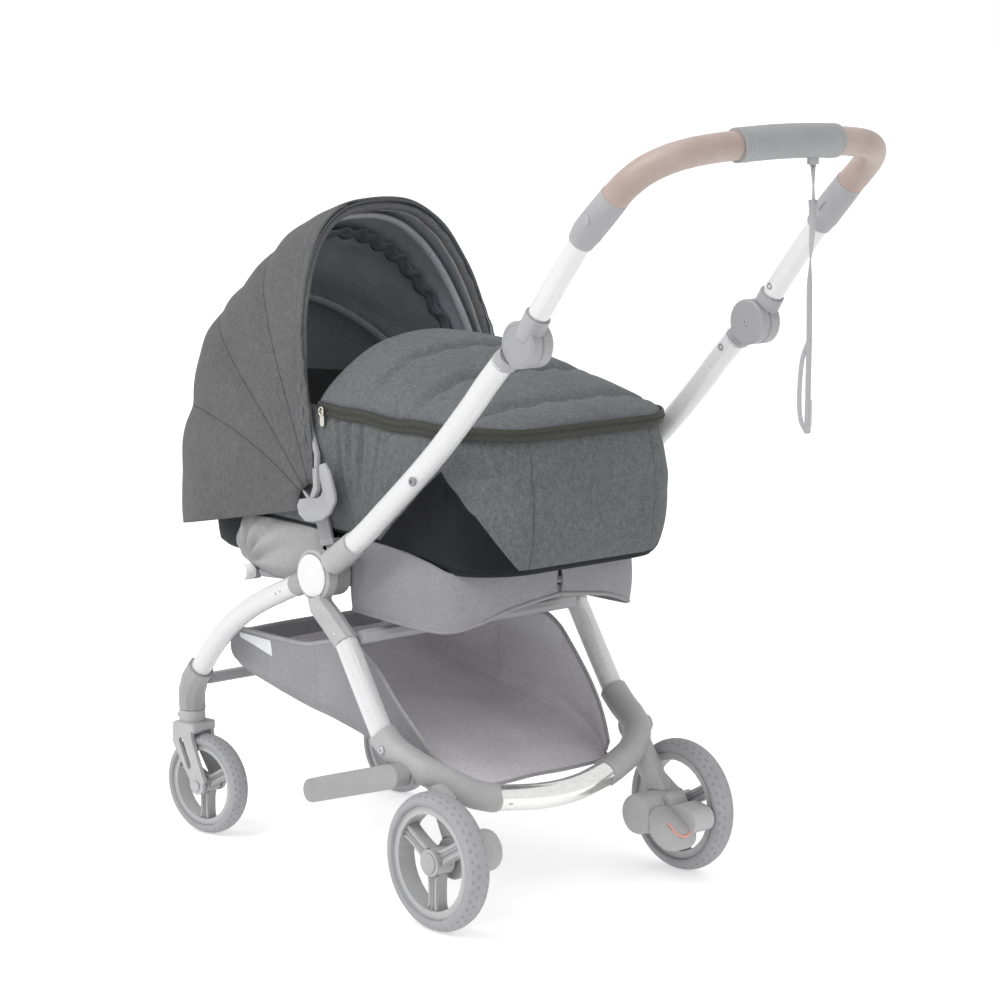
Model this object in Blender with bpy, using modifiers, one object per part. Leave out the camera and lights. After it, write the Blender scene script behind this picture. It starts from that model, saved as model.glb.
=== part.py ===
"""Baby stroller with a newborn pack, one named object for each physical piece.
Metres, +Z up. The stroller faces -Y, the handle is at +Y, left is +X."""

import math

import bmesh
import bpy
from mathutils import Matrix, Vector

for old in list(bpy.data.objects):
    bpy.data.objects.remove(old, do_unlink=True)

# ---- driving dimensions (y is measured from MID_Y, the middle of the overall length) ----
MID_Y = 0.16615
TUBE_R = 0.0142
FRONT_TUBE_R = 0.0135
REAR_TUBE_R = 0.0145
PUSH_X = 0.2
REAR_LEG_X = 0.2037
FRONT_LEG_X = 0.19
HUB = (0.0709, 0.4176)
HUB_R = 0.0345
ELBOW = (0.48, 0.762)
ELBOW_R = 0.0294
HOOD_PIVOT = (0.037, 0.499)
REAR_WHEEL = (0.2158, 0.3382, 0.09)
REAR_TYRE_HALF = 0.017
FRONT_WHEEL_R = 0.071
FRONT_TYRE_HALF = 0.015
CASTER = (0.175, -0.2505)
CASTER_TRAIL = 0.030
CASTER_TURN = {1: math.radians(8.7), -1: 0.0}
LEVER_PIVOT = (0.26, 0.187)
LEVER_TIP = (0.0946, 0.135)
GAP = 0.0003
PACK_HALF = 0.163
ZIP_Z = 0.6345
HOOD_R = ((102, 0.405), (120, 0.407), (135, 0.405), (150, 0.430), (165, 0.433), (180, 0.440), (191, 0.452))
HOOD_HALF = 0.178
HOOD_POWER = 2.7
HEAD_POWER = 2.2

scene = bpy.context.scene
parts = bpy.data.collections.new("baby_stroller")
cutters = bpy.data.collections.new("cutters")
scene.collection.children.link(parts)
scene.collection.children.link(cutters)


# ---- helpers ----
def material(name, colour, roughness, metallic=0.0):
    made = bpy.data.materials.new(name)
    made.use_nodes = True
    shader = made.node_tree.nodes["Principled BSDF"]
    shader.inputs["Base Color"].default_value = (*colour, 1.0)
    shader.inputs["Roughness"].default_value = roughness
    shader.inputs["Metallic"].default_value = metallic
    made.diffuse_color = (*colour, 1.0)
    return made


ALUMINIUM = material("satin_aluminium", (0.86, 0.86, 0.86), 0.35, 0.6)
CHROME = material("polished_steel", (0.82, 0.82, 0.80), 0.15, 1.0)
PLASTIC = material("grey_plastic", (0.38, 0.38, 0.38), 0.5)
COVER = material("white_cover", (0.85, 0.85, 0.85), 0.4)
RUBBER = material("tyre_rubber", (0.34, 0.34, 0.35), 0.75)
LEATHER = material("rose_leather", (0.48, 0.40, 0.38), 0.6)
GRIP = material("grip_rubber", (0.33, 0.33, 0.34), 0.7)
FABRIC = material("charcoal_melange", (0.10, 0.10, 0.105), 0.9)
BLACK = material("black_lining", (0.02, 0.02, 0.022), 0.9)
PALE = material("pale_fabric", (0.45, 0.45, 0.44), 0.9)
MESH = material("basket_fabric", (0.30, 0.29, 0.31), 0.9)
STEEL = material("axle_steel", (0.6, 0.6, 0.6), 0.3, 1.0)


def at(x, y, z):
    return Vector((x, y - MID_Y, z))


def place(obj, name, mat, home=parts):
    obj.name = name
    obj.data.name = name
    for holder in list(obj.users_collection):
        holder.objects.unlink(obj)
    home.objects.link(obj)
    obj.data.materials.clear()
    obj.data.materials.append(mat)
    return obj


def new_mesh(name, bm, mat, home=parts, origin=None):
    bm.normal_update()
    bmesh.ops.recalc_face_normals(bm, faces=bm.faces)
    if all(e.is_manifold for e in bm.edges) and bm.calc_volume(signed=True) < 0:
        bmesh.ops.reverse_faces(bm, faces=bm.faces)
    mesh = bpy.data.meshes.new(name)
    bm.to_mesh(mesh)
    bm.free()
    obj = bpy.data.objects.new(name, mesh)
    home.objects.link(obj)
    mesh.materials.append(mat)
    if origin is not None:
        set_origin(obj, origin)
    return obj


def set_origin(obj, origin):
    """Moves the object's origin onto a point, usually its joint's axis."""
    shift = Vector(origin) - obj.location
    obj.data.transform(Matrix.Translation(-shift))
    obj.location = Vector(origin)
    return obj


def smooth_path(points, step=0.02):
    """Points every step along a smooth curve through the route's own points."""
    route = [Vector(p) for p in points]
    route = [route[0] * 2 - route[1]] + route + [route[-1] * 2 - route[-2]]
    out = [route[1]]
    for a, b, c, d in zip(route, route[1:], route[2:], route[3:]):
        count = max(1, round((c - b).length / step))
        for i in range(1, count + 1):
            t = i / count
            out.append(
                0.5 * (2 * b + (c - a) * t + (2 * a - 5 * b + 4 * c - d) * t * t + (3 * b - a - 3 * c + d) * t ** 3)
            )
    return out


def tube(name, points, radius, mat, sides=2, home=parts, cyclic=False, radii=None):
    """A capped round tube along the points, as a mesh."""
    curve = bpy.data.curves.new(name, "CURVE")
    curve.dimensions = "3D"
    curve.bevel_depth = radius
    curve.bevel_resolution = sides
    curve.use_fill_caps = not cyclic
    spline = curve.splines.new("POLY")
    spline.points.add(len(points) - 1)
    for i, (point, p) in enumerate(zip(spline.points, points)):
        point.co = (*p, 1.0)
        if radii:
            point.radius = radii[i]
    spline.use_cyclic_u = cyclic
    holder = bpy.data.objects.new(name, curve)
    home.objects.link(holder)
    bpy.context.view_layer.update()
    mesh = bpy.data.meshes.new_from_object(holder.evaluated_get(bpy.context.evaluated_depsgraph_get()))
    bpy.data.objects.remove(holder, do_unlink=True)
    bm = bmesh.new()
    bm.from_mesh(mesh)
    bmesh.ops.remove_doubles(bm, verts=bm.verts, dist=1e-5)
    bpy.data.meshes.remove(mesh)
    return new_mesh(name, bm, mat, home)


def rod(name, start, end, radius, mat, segments=20, home=parts, radius2=None, bevel=0.0):
    """A cylinder or cone between two points."""
    start, end = Vector(start), Vector(end)
    along = end - start
    bm = bmesh.new()
    bmesh.ops.create_cone(bm, cap_ends=True, segments=segments, radius1=radius,
                          radius2=radius if radius2 is None else radius2, depth=along.length)
    if bevel:
        rim = [e for e in bm.edges if abs(abs(e.verts[0].co.z) - along.length / 2) < 1e-6
               and abs(e.verts[0].co.z - e.verts[1].co.z) < 1e-6]
        bmesh.ops.bevel(bm, geom=rim, offset=bevel, segments=1, affect="EDGES")
    turn = along.to_track_quat("Z", "Y").to_matrix().to_4x4()
    bm.transform(Matrix.Translation((start + end) / 2) @ turn)
    return new_mesh(name, bm, mat, home)


def box(name, centre, size, mat, home=parts, turn=None, bevel=0.0):
    bm = bmesh.new()
    bmesh.ops.create_cube(bm, size=1.0)
    bmesh.ops.scale(bm, vec=size, verts=bm.verts)
    if bevel:
        bmesh.ops.bevel(bm, geom=list(bm.edges), offset=bevel, segments=1, affect="EDGES")
    bm.transform(Matrix.Translation(Vector(centre)) @ (turn.to_4x4() if turn else Matrix.Identity(4)))
    return new_mesh(name, bm, mat, home)


def outline(name, points, thickness, mat, home=parts, plane="YZ", centre=0.0):
    """A flat outline given thickness, in the YZ plane at x=centre or in the XY plane at z=centre."""
    curve = bpy.data.curves.new(name, "CURVE")
    curve.dimensions = "2D"
    curve.fill_mode = "BOTH"
    curve.extrude = thickness / 2
    spline = curve.splines.new("POLY")
    spline.points.add(len(points) - 1)
    for point, p in zip(spline.points, points):
        point.co = (p[0], p[1], 0.0, 1.0)
    spline.use_cyclic_u = True
    holder = bpy.data.objects.new(name, curve)
    home.objects.link(holder)
    bpy.context.view_layer.update()
    mesh = bpy.data.meshes.new_from_object(holder.evaluated_get(bpy.context.evaluated_depsgraph_get()))
    bpy.data.objects.remove(holder, do_unlink=True)
    bm = bmesh.new()
    bm.from_mesh(mesh)
    bpy.data.meshes.remove(mesh)
    bmesh.ops.remove_doubles(bm, verts=bm.verts, dist=1e-6)
    if plane == "YZ":
        bm.transform(Matrix(((0, 0, 1, centre), (1, 0, 0, 0), (0, 1, 0, 0), (0, 0, 0, 1))))
    else:
        bm.transform(Matrix.Translation((0, 0, centre)))
    return new_mesh(name, bm, mat, home)


def boolean(obj, other, operation="DIFFERENCE"):
    """A live exact Boolean. The other object moves among the cutters."""
    if parts in other.users_collection:
        parts.objects.unlink(other)
        cutters.objects.link(other)
    other.hide_render = True
    other.display_type = "WIRE"
    made = obj.modifiers.new(operation.lower(), "BOOLEAN")
    made.operation = operation
    made.solver = "EXACT"
    made.object = other
    return obj


def union(obj, *others):
    for other in others:
        boolean(obj, other, "UNION")
    return obj


def cut(obj, *others):
    for other in others:
        boolean(obj, other)
    return obj


def face(obj, point, direction, size=0.11):
    """Cuts the end of a piece flat: all that lies beyond the plane goes, within a box."""
    direction = Vector(direction).normalized()
    turn = direction.to_track_quat("Z", "Y").to_matrix()
    return cut(obj, box(obj.name + "_end", Vector(point) + direction * (GAP / -2 + size / 2), (size, size, size), PLASTIC, turn=turn))


def bake(obj):
    """Applies the modifiers."""
    bpy.context.view_layer.update()
    mesh = bpy.data.meshes.new_from_object(obj.evaluated_get(bpy.context.evaluated_depsgraph_get()))
    obj.modifiers.clear()
    obj.data = mesh
    mesh.name = obj.name
    return obj


def around(centre, radius, start, end, count):
    """Points on an arc in a plane, in degrees."""
    return [(centre[0] + radius * math.cos(math.radians(start + (end - start) * i / count)),
             centre[1] + radius * math.sin(math.radians(start + (end - start) * i / count)))
            for i in range(count + 1)]


def stadium(a, b, radius, count=8):
    """The outline of a flat bar with round ends."""
    angle = math.degrees(math.atan2(b[1] - a[1], b[0] - a[0]))
    return around(b, radius, angle - 90, angle + 90, count) + around(a, radius, angle + 90, angle + 270, count)


def yz(points):
    return [(y - MID_Y, z) for y, z in points]


SIDES = ((1, "left"), (-1, "right"))
# where tubes meet their mouldings, as (y, z)
LEG_TOP = (0.1372, 0.3385)
LEG_END = (0.2122, 0.2287)
CROSS_END = 0.0980
PUSH_END = (0.4427, 0.7377)
HANDLE_START = (0.5048, 0.7992)
SLEEVE_LOW = (0.5845, 0.8973)
SLEEVE_HIGH = (0.6301, 0.9432)
GRIP_END = 0.0829
FRONT_END = (-0.2072, 0.2428)
FORK_TOP = 0.1753
hub_y, hub_z = HUB


def knuckle(name, s, near, far, toward, width, mat):
    """A flat eye about the hub pin with an arm towards a point, bored for the pin."""
    mid, thick = (near + far) / 2, abs(far - near)
    eye = rod(name, at(s * near, *HUB), at(s * far, *HUB), 0.030, mat, 22)
    direction = Vector((0, toward[0] - hub_y, toward[1] - hub_z)).normalized()
    angle = math.atan2(direction.z, direction.y)
    arm = box(name + "_arm", at(s * mid, hub_y + direction.y * 0.032, hub_z + direction.z * 0.032),
              (thick - 0.0004, 0.064, width), mat, turn=Matrix.Rotation(angle, 3, "X"))
    union(eye, arm)
    return eye


# ---- rear frame ----
for s, side in SIDES:
    leg = tube(f"rear_leg_{side}", smooth_path([at(s * REAR_LEG_X, 0.1310, 0.3450), at(s * REAR_LEG_X, 0.1375, 0.3382), at(s * REAR_LEG_X, 0.1575, 0.311),
                                               at(s * REAR_LEG_X, 0.176, 0.282), at(s * REAR_LEG_X, 0.195, 0.254),
                                               at(s * REAR_LEG_X, 0.2118, 0.2292),
                                               at(s * REAR_LEG_X, 0.2170, 0.2215)]), REAR_TUBE_R, ALUMINIUM, 3)
    face(leg, at(s * REAR_LEG_X, *LEG_TOP), (0, -0.70, 0.714), 0.08)
    face(leg, at(s * REAR_LEG_X, *LEG_END), (0, 0.561, -0.828), 0.08)
    bake(leg)

    corner = tube(f"corner_moulding_{side}", smooth_path([
        at(s * REAR_LEG_X, 0.2070, 0.2363), at(s * REAR_LEG_X, 0.2124, 0.2283), at(s * 0.2010, 0.234, 0.212), at(s * 0.194, 0.262, 0.199),
        at(s * 0.181, 0.285, 0.187), at(s * 0.155, 0.303, 0.170), at(s * 0.128, 0.3060, 0.156),
        at(s * 0.0985, 0.3108, 0.1470), at(s * 0.0900, 0.3130, 0.1460)], 0.018), 0.0185, PLASTIC, 3,
        radii=None)
    hanger = rod(f"corner_hanger_{side}", at(s * 0.176, 0.290, 0.180), at(s * 0.181, 0.334, 0.108), 0.0165, PLASTIC, 16)
    pod = rod(f"corner_pod_{side}", at(s * 0.186, *LEVER_PIVOT), at(s * 0.2072, *LEVER_PIVOT), 0.0185, PLASTIC, 20)
    face(corner, at(s * REAR_LEG_X, *LEG_END), (0, -0.561, 0.828), 0.08)
    face(corner, at(s * CROSS_END, 0.3110, 0.1470), (-s, 0, 0), 0.08)
    union(corner, hanger, pod)
    cut(corner, rod(f"drum_clear_{side}", at(s * 0.15, 0.3382, 0.09), at(s * 0.24, 0.3382, 0.09), 0.0285, PLASTIC, 28))
    if s == 1:
        slot = outline("lever_clear", yz(stadium(LEVER_PIVOT, LEVER_TIP, 0.0175)), 0.04, PLASTIC, centre=0.2278)
        cut(corner, slot)
    else:
        union(corner, rod("lever_boss", at(-0.2, *LEVER_PIVOT), at(-0.2225, *LEVER_PIVOT), 0.0125, PLASTIC, 16))
    bake(corner)

    housing = rod(f"hub_housing_{side}", at(s * 0.1905, *HUB), at(s * 0.2085, *HUB), HUB_R, PLASTIC, 30, bevel=0.002)
    socket = tube(f"hub_socket_{side}", smooth_path([at(s * 0.2000, 0.0745, 0.392), at(s * 0.2030, 0.083, 0.378),
                                                    at(s * REAR_LEG_X, 0.1065, 0.3625), at(s * REAR_LEG_X, 0.1370, 0.3387),
                                                    at(s * REAR_LEG_X, 0.1450, 0.3315)], 0.02),
                  0.0165, PLASTIC, 3, radii=None)
    pin = rod(f"hub_pin_{side}", at(s * 0.1668, *HUB), at(s * 0.195, *HUB), 0.008, STEEL, 20)
    trim = rod(f"hub_trim_{side}", at(s * 0.15, *HUB), at(s * 0.1903, *HUB), 0.0385, PLASTIC, 36)
    cut(socket, trim)
    face(socket, at(s * REAR_LEG_X, *LEG_TOP), (0, 0.70, -0.714), 0.08)
    bake(socket)
    union(housing, socket, pin)
    cut(housing, rod(f"cover_seat_{side}", at(s * 0.2065, *HUB), at(s * 0.22, *HUB), 0.0292, PLASTIC, 30))
    bake(housing)
    rod(f"hub_cover_{side}", at(s * 0.2068, *HUB), at(s * 0.2109, *HUB), 0.0288, COVER, 30, bevel=0.001)

    drum = rod(f"brake_housing_{side}", at(s * 0.160, 0.3382, 0.09), at(s * 0.1962, 0.3382, 0.09), 0.0280, PLASTIC, 28, bevel=0.003)
    stub = rod(f"stub_axle_{side}", at(s * 0.19, 0.3382, 0.09), at(s * 0.2255, 0.3382, 0.09), 0.0060, STEEL, 16)
    union(drum, stub)
    bake(drum)

crossbar = tube("rear_crossbar", [at(-0.1050, 0.3095, 0.1475), at(-0.0980, 0.3112, 0.1468), at(-0.05, 0.3235, 0.1425), at(0.0, 0.328, 0.1405),
                                  at(0.05, 0.3235, 0.1425), at(0.0980, 0.3112, 0.1468), at(0.1050, 0.3095, 0.1475)], 0.0165, CHROME, 3)
for s, side in SIDES:
    face(crossbar, at(s * CROSS_END, 0.3110, 0.1470), (s, 0, 0), 0.08)
bake(crossbar)
tube("cross_tube", [at(-0.1868, 0.146, 0.3445), at(0.0, 0.146, 0.3445), at(0.1868, 0.146, 0.3445)], 0.0095, PLASTIC, 2)

# ---- seat and newborn pack ----
PACK_SLOPE = 0.083
PACK_FLOOR = 0.417


def pack_floor(y):
    return PACK_FLOOR + PACK_SLOPE * y


def rail_z(y):
    return pack_floor(y) - 0.0185


ring = [at(0.150, -0.112, rail_z(-0.112)), at(0.150, 0.05, rail_z(0.05)), at(0.150, 0.280, rail_z(0.280)),
        at(0.132, 0.300, rail_z(0.300)), at(-0.132, 0.300, rail_z(0.300)), at(-0.150, 0.280, rail_z(0.280)),
        at(-0.150, 0.05, rail_z(0.05)), at(-0.150, -0.112, rail_z(-0.112)), at(-0.132, -0.130, rail_z(-0.130)),
        at(0.132, -0.130, rail_z(-0.130))]
seat_frame = tube("seat_frame", ring, 0.008, ALUMINIUM, 2, cyclic=True)
for s, side in SIDES:
    union(seat_frame, rod(f"recline_end_{side}", at(s * 0.1462, -0.130, rail_z(-0.130)), at(s * 0.1765, -0.130, rail_z(-0.130)),
                          0.0112, COVER, 20, bevel=0.0015))
bake(seat_frame)

tilt = Matrix.Rotation(math.atan(PACK_SLOPE), 3, "X")


def plan(half, head, foot_y, corner, count=14):
    """The pack's outline seen from above: rounded head end, square foot with round corners."""
    points = []
    for i in range(count + 1):
        t = math.pi * i / count
        c, sn = math.cos(t), math.sin(t)
        points.append((half * math.copysign(abs(c) ** (2 / HEAD_POWER), c),
                       HOOD_PIVOT[0] - head * abs(sn) ** (2 / HEAD_POWER) - MID_Y))
    points += [(x, y - MID_Y) for x, y in around((-half + corner, foot_y - corner), corner, 180, 90, 5)]
    points += [(x, y - MID_Y) for x, y in around((half - corner, foot_y - corner), corner, 90, 0, 5)]
    return points


hammock = outline("seat_hammock", plan(0.1445, 0.338, 0.302, 0.030), 0.0060, PALE, plane="XY", centre=0.0)
shear = Matrix.Identity(4)
shear[2][1] = PACK_SLOPE
hammock.data.transform(Matrix.Translation((0, 0, pack_floor(MID_Y) - 0.0050)) @ shear)
base = outline("pack_base", plan(0.152, 0.385, 0.378, 0.07), 0.10, BLACK, plane="XY", centre=0.4185)
under = box("pack_base_under", at(0, 0, pack_floor(0) - 0.10), (0.5, 1.2, 0.20), BLACK, turn=tilt)
cut(base, under)
bake(base)

body = outline("cocoon_body", plan(PACK_HALF, 0.380, 0.385, 0.075), 0.622 - 0.4695, FABRIC, plane="XY", centre=(0.622 + 0.4695) / 2)
cut(body, outline("cocoon_inside", plan(PACK_HALF - 0.013, 0.367, 0.372, 0.062), 0.20, FABRIC, plane="XY", centre=0.4785 + 0.10))
bake(body)
outline("mattress", plan(0.140, 0.352, 0.360, 0.055), 0.030, PALE, plane="XY", centre=0.4790 + 0.015)


def cover_grid():
    """The padded cover: crowned over its length, raised at its open end."""
    bm = bmesh.new()
    nu, nv = 12, 10
    bmesh.ops.create_grid(bm, x_segments=nu, y_segments=nv, size=1.0)
    for vert in bm.verts:
        u, v = vert.co.x, (vert.co.y + 1) / 2
        y0, y1, corner = 0.030, 0.385, 0.075
        y = y0 + (y1 - y0) * v
        half = PACK_HALF + 0.002
        if y > y1 - corner:
            d = (y - (y1 - corner)) / corner
            half = half - corner + corner * math.sqrt(max(0.0, 1 - d * d))
        crown = (1 - abs(u) ** 3.2) ** 0.62
        end = (1 - max(0.0, (v - 0.55) / 0.45) ** 2.6) ** 0.6
        fall = min(1.0, max(0.0, (v - 0.15) / 0.75))
        lift = (0.085 - 0.052 * fall * fall * (3 - 2 * fall)) * crown * end
        vert.co = at(half * u, y, ZIP_Z + lift)
    return bm


cover = new_mesh("cocoon_cover", cover_grid(), FABRIC)
solid = cover.modifiers.new("padding", "SOLIDIFY")
solid.thickness = 0.009
solid.offset = -1.0
bake(cover)

# ---- hood ----
def hood_radius(angle):
    pairs = HOOD_R
    for (a, ra), (b, rb) in zip(pairs, pairs[1:]):
        if angle <= b:
            t = (angle - a) / (b - a)
            t = t * t * (3 - 2 * t) if 0 <= t <= 1 else t
            return ra + (rb - ra) * t
    return pairs[-1][1]


def hood_point(angle, turn, inset=0.0, half=HOOD_HALF):
    """A point of the hood: an arch about the pivot line, at an angle back from the front."""
    c, sn = math.cos(turn), math.sin(turn)
    reach = (hood_radius(angle) - inset) * abs(sn) ** (2 / HOOD_POWER)
    x = (half - inset) * math.copysign(abs(c) ** (2 / HOOD_POWER), c)
    a = math.radians(angle)
    return at(x, HOOD_PIVOT[0] + reach * math.cos(a), HOOD_PIVOT[1] + reach * math.sin(a))


def arch_turns(count, first):
    return [first + (math.pi - 2 * first) * i / count for i in range(count + 1)]


bm = bmesh.new()
angles = [102, 109, 117, 126, 135, 143, 150, 158, 166, 175, 184, 191]
turns = arch_turns(18, 0.16)
bmesh.ops.create_grid(bm, x_segments=len(turns) - 1, y_segments=len(angles) - 1, size=1.0)
for vert in bm.verts:
    i = round((vert.co.x + 1) / 2 * (len(turns) - 1))
    j = round((vert.co.y + 1) / 2 * (len(angles) - 1))
    vert.co = hood_point(angles[j], turns[i])
bmesh.ops.recalc_face_normals(bm, faces=bm.faces)
hood = new_mesh("hood_shell", bm, FABRIC)
if sum((f.center - Vector(at(0, HOOD_PIVOT[0], HOOD_PIVOT[1]))).dot(f.normal) for f in hood.data.polygons) < 0:
    hood.data.flip_normals()
solid = hood.modifiers.new("cloth", "SOLIDIFY")
solid.thickness = 0.003
solid.offset = -1.0
bake(hood)

hood_at = (HOOD_PIVOT[0], HOOD_PIVOT[1])
rim_angle = 104
rim = [at(0.1836, 0.0508, 0.5470), at(0.1748, 0.0400, 0.5720), at(0.1683, 0.0180, 0.6020)]
rim += [hood_point(rim_angle, t, inset=0.0088) for t in arch_turns(18, 0.30)]
rim += [Vector((-p[0], p[1], p[2])) for p in reversed(rim[:3])]
bow = tube("hood_rim_bow", rim, 0.0045, PLASTIC, 2)
for s, side in SIDES:
    union(bow, rod(f"rim_eye_{side}", at(s * 0.1772, *hood_at), at(s * 0.1880, *hood_at), 0.0110, PLASTIC, 16),
          tube(f"rim_arm_{side}", [at(s * 0.1840, HOOD_PIVOT[0], HOOD_PIVOT[1]), at(s * 0.1840, 0.052, 0.530),
                                   at(s * 0.1840, 0.051, 0.556)], 0.0062, PLASTIC, 2))
    cut(bow, rod(f"rim_bore_{side}", at(s * 0.16, *hood_at), at(s * 0.1850, *hood_at), 0.0048, PLASTIC, 14))
bake(bow)
set_origin(bow, at(0, *hood_at))

mid_angle = 143
near_y, near_z = HOOD_PIVOT[0] + 0.03 * math.cos(math.radians(mid_angle)), HOOD_PIVOT[1] + 0.03 * math.sin(math.radians(mid_angle))
mid = [at(0.1741, *hood_at), at(0.1741, near_y, near_z)]
mid += [hood_point(mid_angle, t, inset=0.0090, half=0.1765) for t in arch_turns(18, 0.30)]
mid += [at(-0.1741, near_y, near_z), at(-0.1741, *hood_at)]
middle = tube("hood_mid_bow", mid, 0.0030, STEEL, 2)
for s, side in SIDES:
    union(middle, rod(f"mid_eye_{side}", at(s * 0.1712, *hood_at), at(s * 0.1765, *hood_at), 0.0085, STEEL, 16))
    cut(middle, rod(f"mid_bore_{side}", at(s * 0.16, *hood_at), at(s * 0.19, *hood_at), 0.0048, STEEL, 14))
bake(middle)
set_origin(middle, at(0, *hood_at))

for s, side in SIDES:
    bracket = box(f"hood_bracket_{side}", at(s * 0.1621, 0.0655, 0.4300), (0.0078, 0.030, 0.052), PLASTIC, bevel=0.001,
                  turn=Matrix.Rotation(math.radians(14), 3, "X"))
    union(bracket,
          box(f"bracket_step_{side}", at(s * 0.1643, 0.0535, 0.4555), (0.0122, 0.028, 0.008), PLASTIC, turn=Matrix.Rotation(math.radians(14), 3, "X")),
          box(f"bracket_top_{side}", at(s * 0.1684, 0.0450, 0.4780), (0.0038, 0.026, 0.046), PLASTIC, turn=Matrix.Rotation(math.radians(20), 3, "X")),
          rod(f"bracket_eye_{side}", at(s * 0.1665, *hood_at), at(s * 0.1703, *hood_at), 0.0135, PLASTIC, 20),
          rod(f"bracket_pin_{side}", at(s * 0.1690, *hood_at), at(s * 0.1840, *hood_at), 0.0044, STEEL, 14))
    bake(bracket)

# ---- basket ----
BASKET = ((-0.172, 0.166, 0.297, 0.304), (-0.163, 0.166, 0.250, 0.305), (-0.080, 0.167, 0.228, 0.306), (0.0, 0.167, 0.214, 0.308),
          (0.115, 0.167, 0.194, 0.325), (0.200, 0.165, 0.172, 0.255), (0.245, 0.154, 0.160, 0.208), (0.272, 0.140, 0.152, 0.176))
bm = bmesh.new()
across = (-1.0, -1.0, -1.0, -0.93, -0.80, -0.4, 0.0, 0.4, 0.80, 0.93, 1.0, 1.0, 1.0)
height = (1.0, 0.55, 0.22, 0.06, 0.0, 0.0, 0.0, 0.0, 0.0, 0.06, 0.22, 0.55, 1.0)
bmesh.ops.create_grid(bm, x_segments=len(across) - 1, y_segments=len(BASKET) - 1, size=1.0)
for vert in bm.verts:
    i = round((vert.co.x + 1) / 2 * (len(across) - 1))
    j = round((vert.co.y + 1) / 2 * (len(BASKET) - 1))
    y, half, low, high = BASKET[j]
    vert.co = at(half * across[i], y, low + (high - low) * height[i])
basket = new_mesh("basket", bm, MESH)
solid = basket.modifiers.new("cloth", "SOLIDIFY")
solid.thickness = 0.0025
solid.offset = 0.0
bake(basket)

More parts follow.
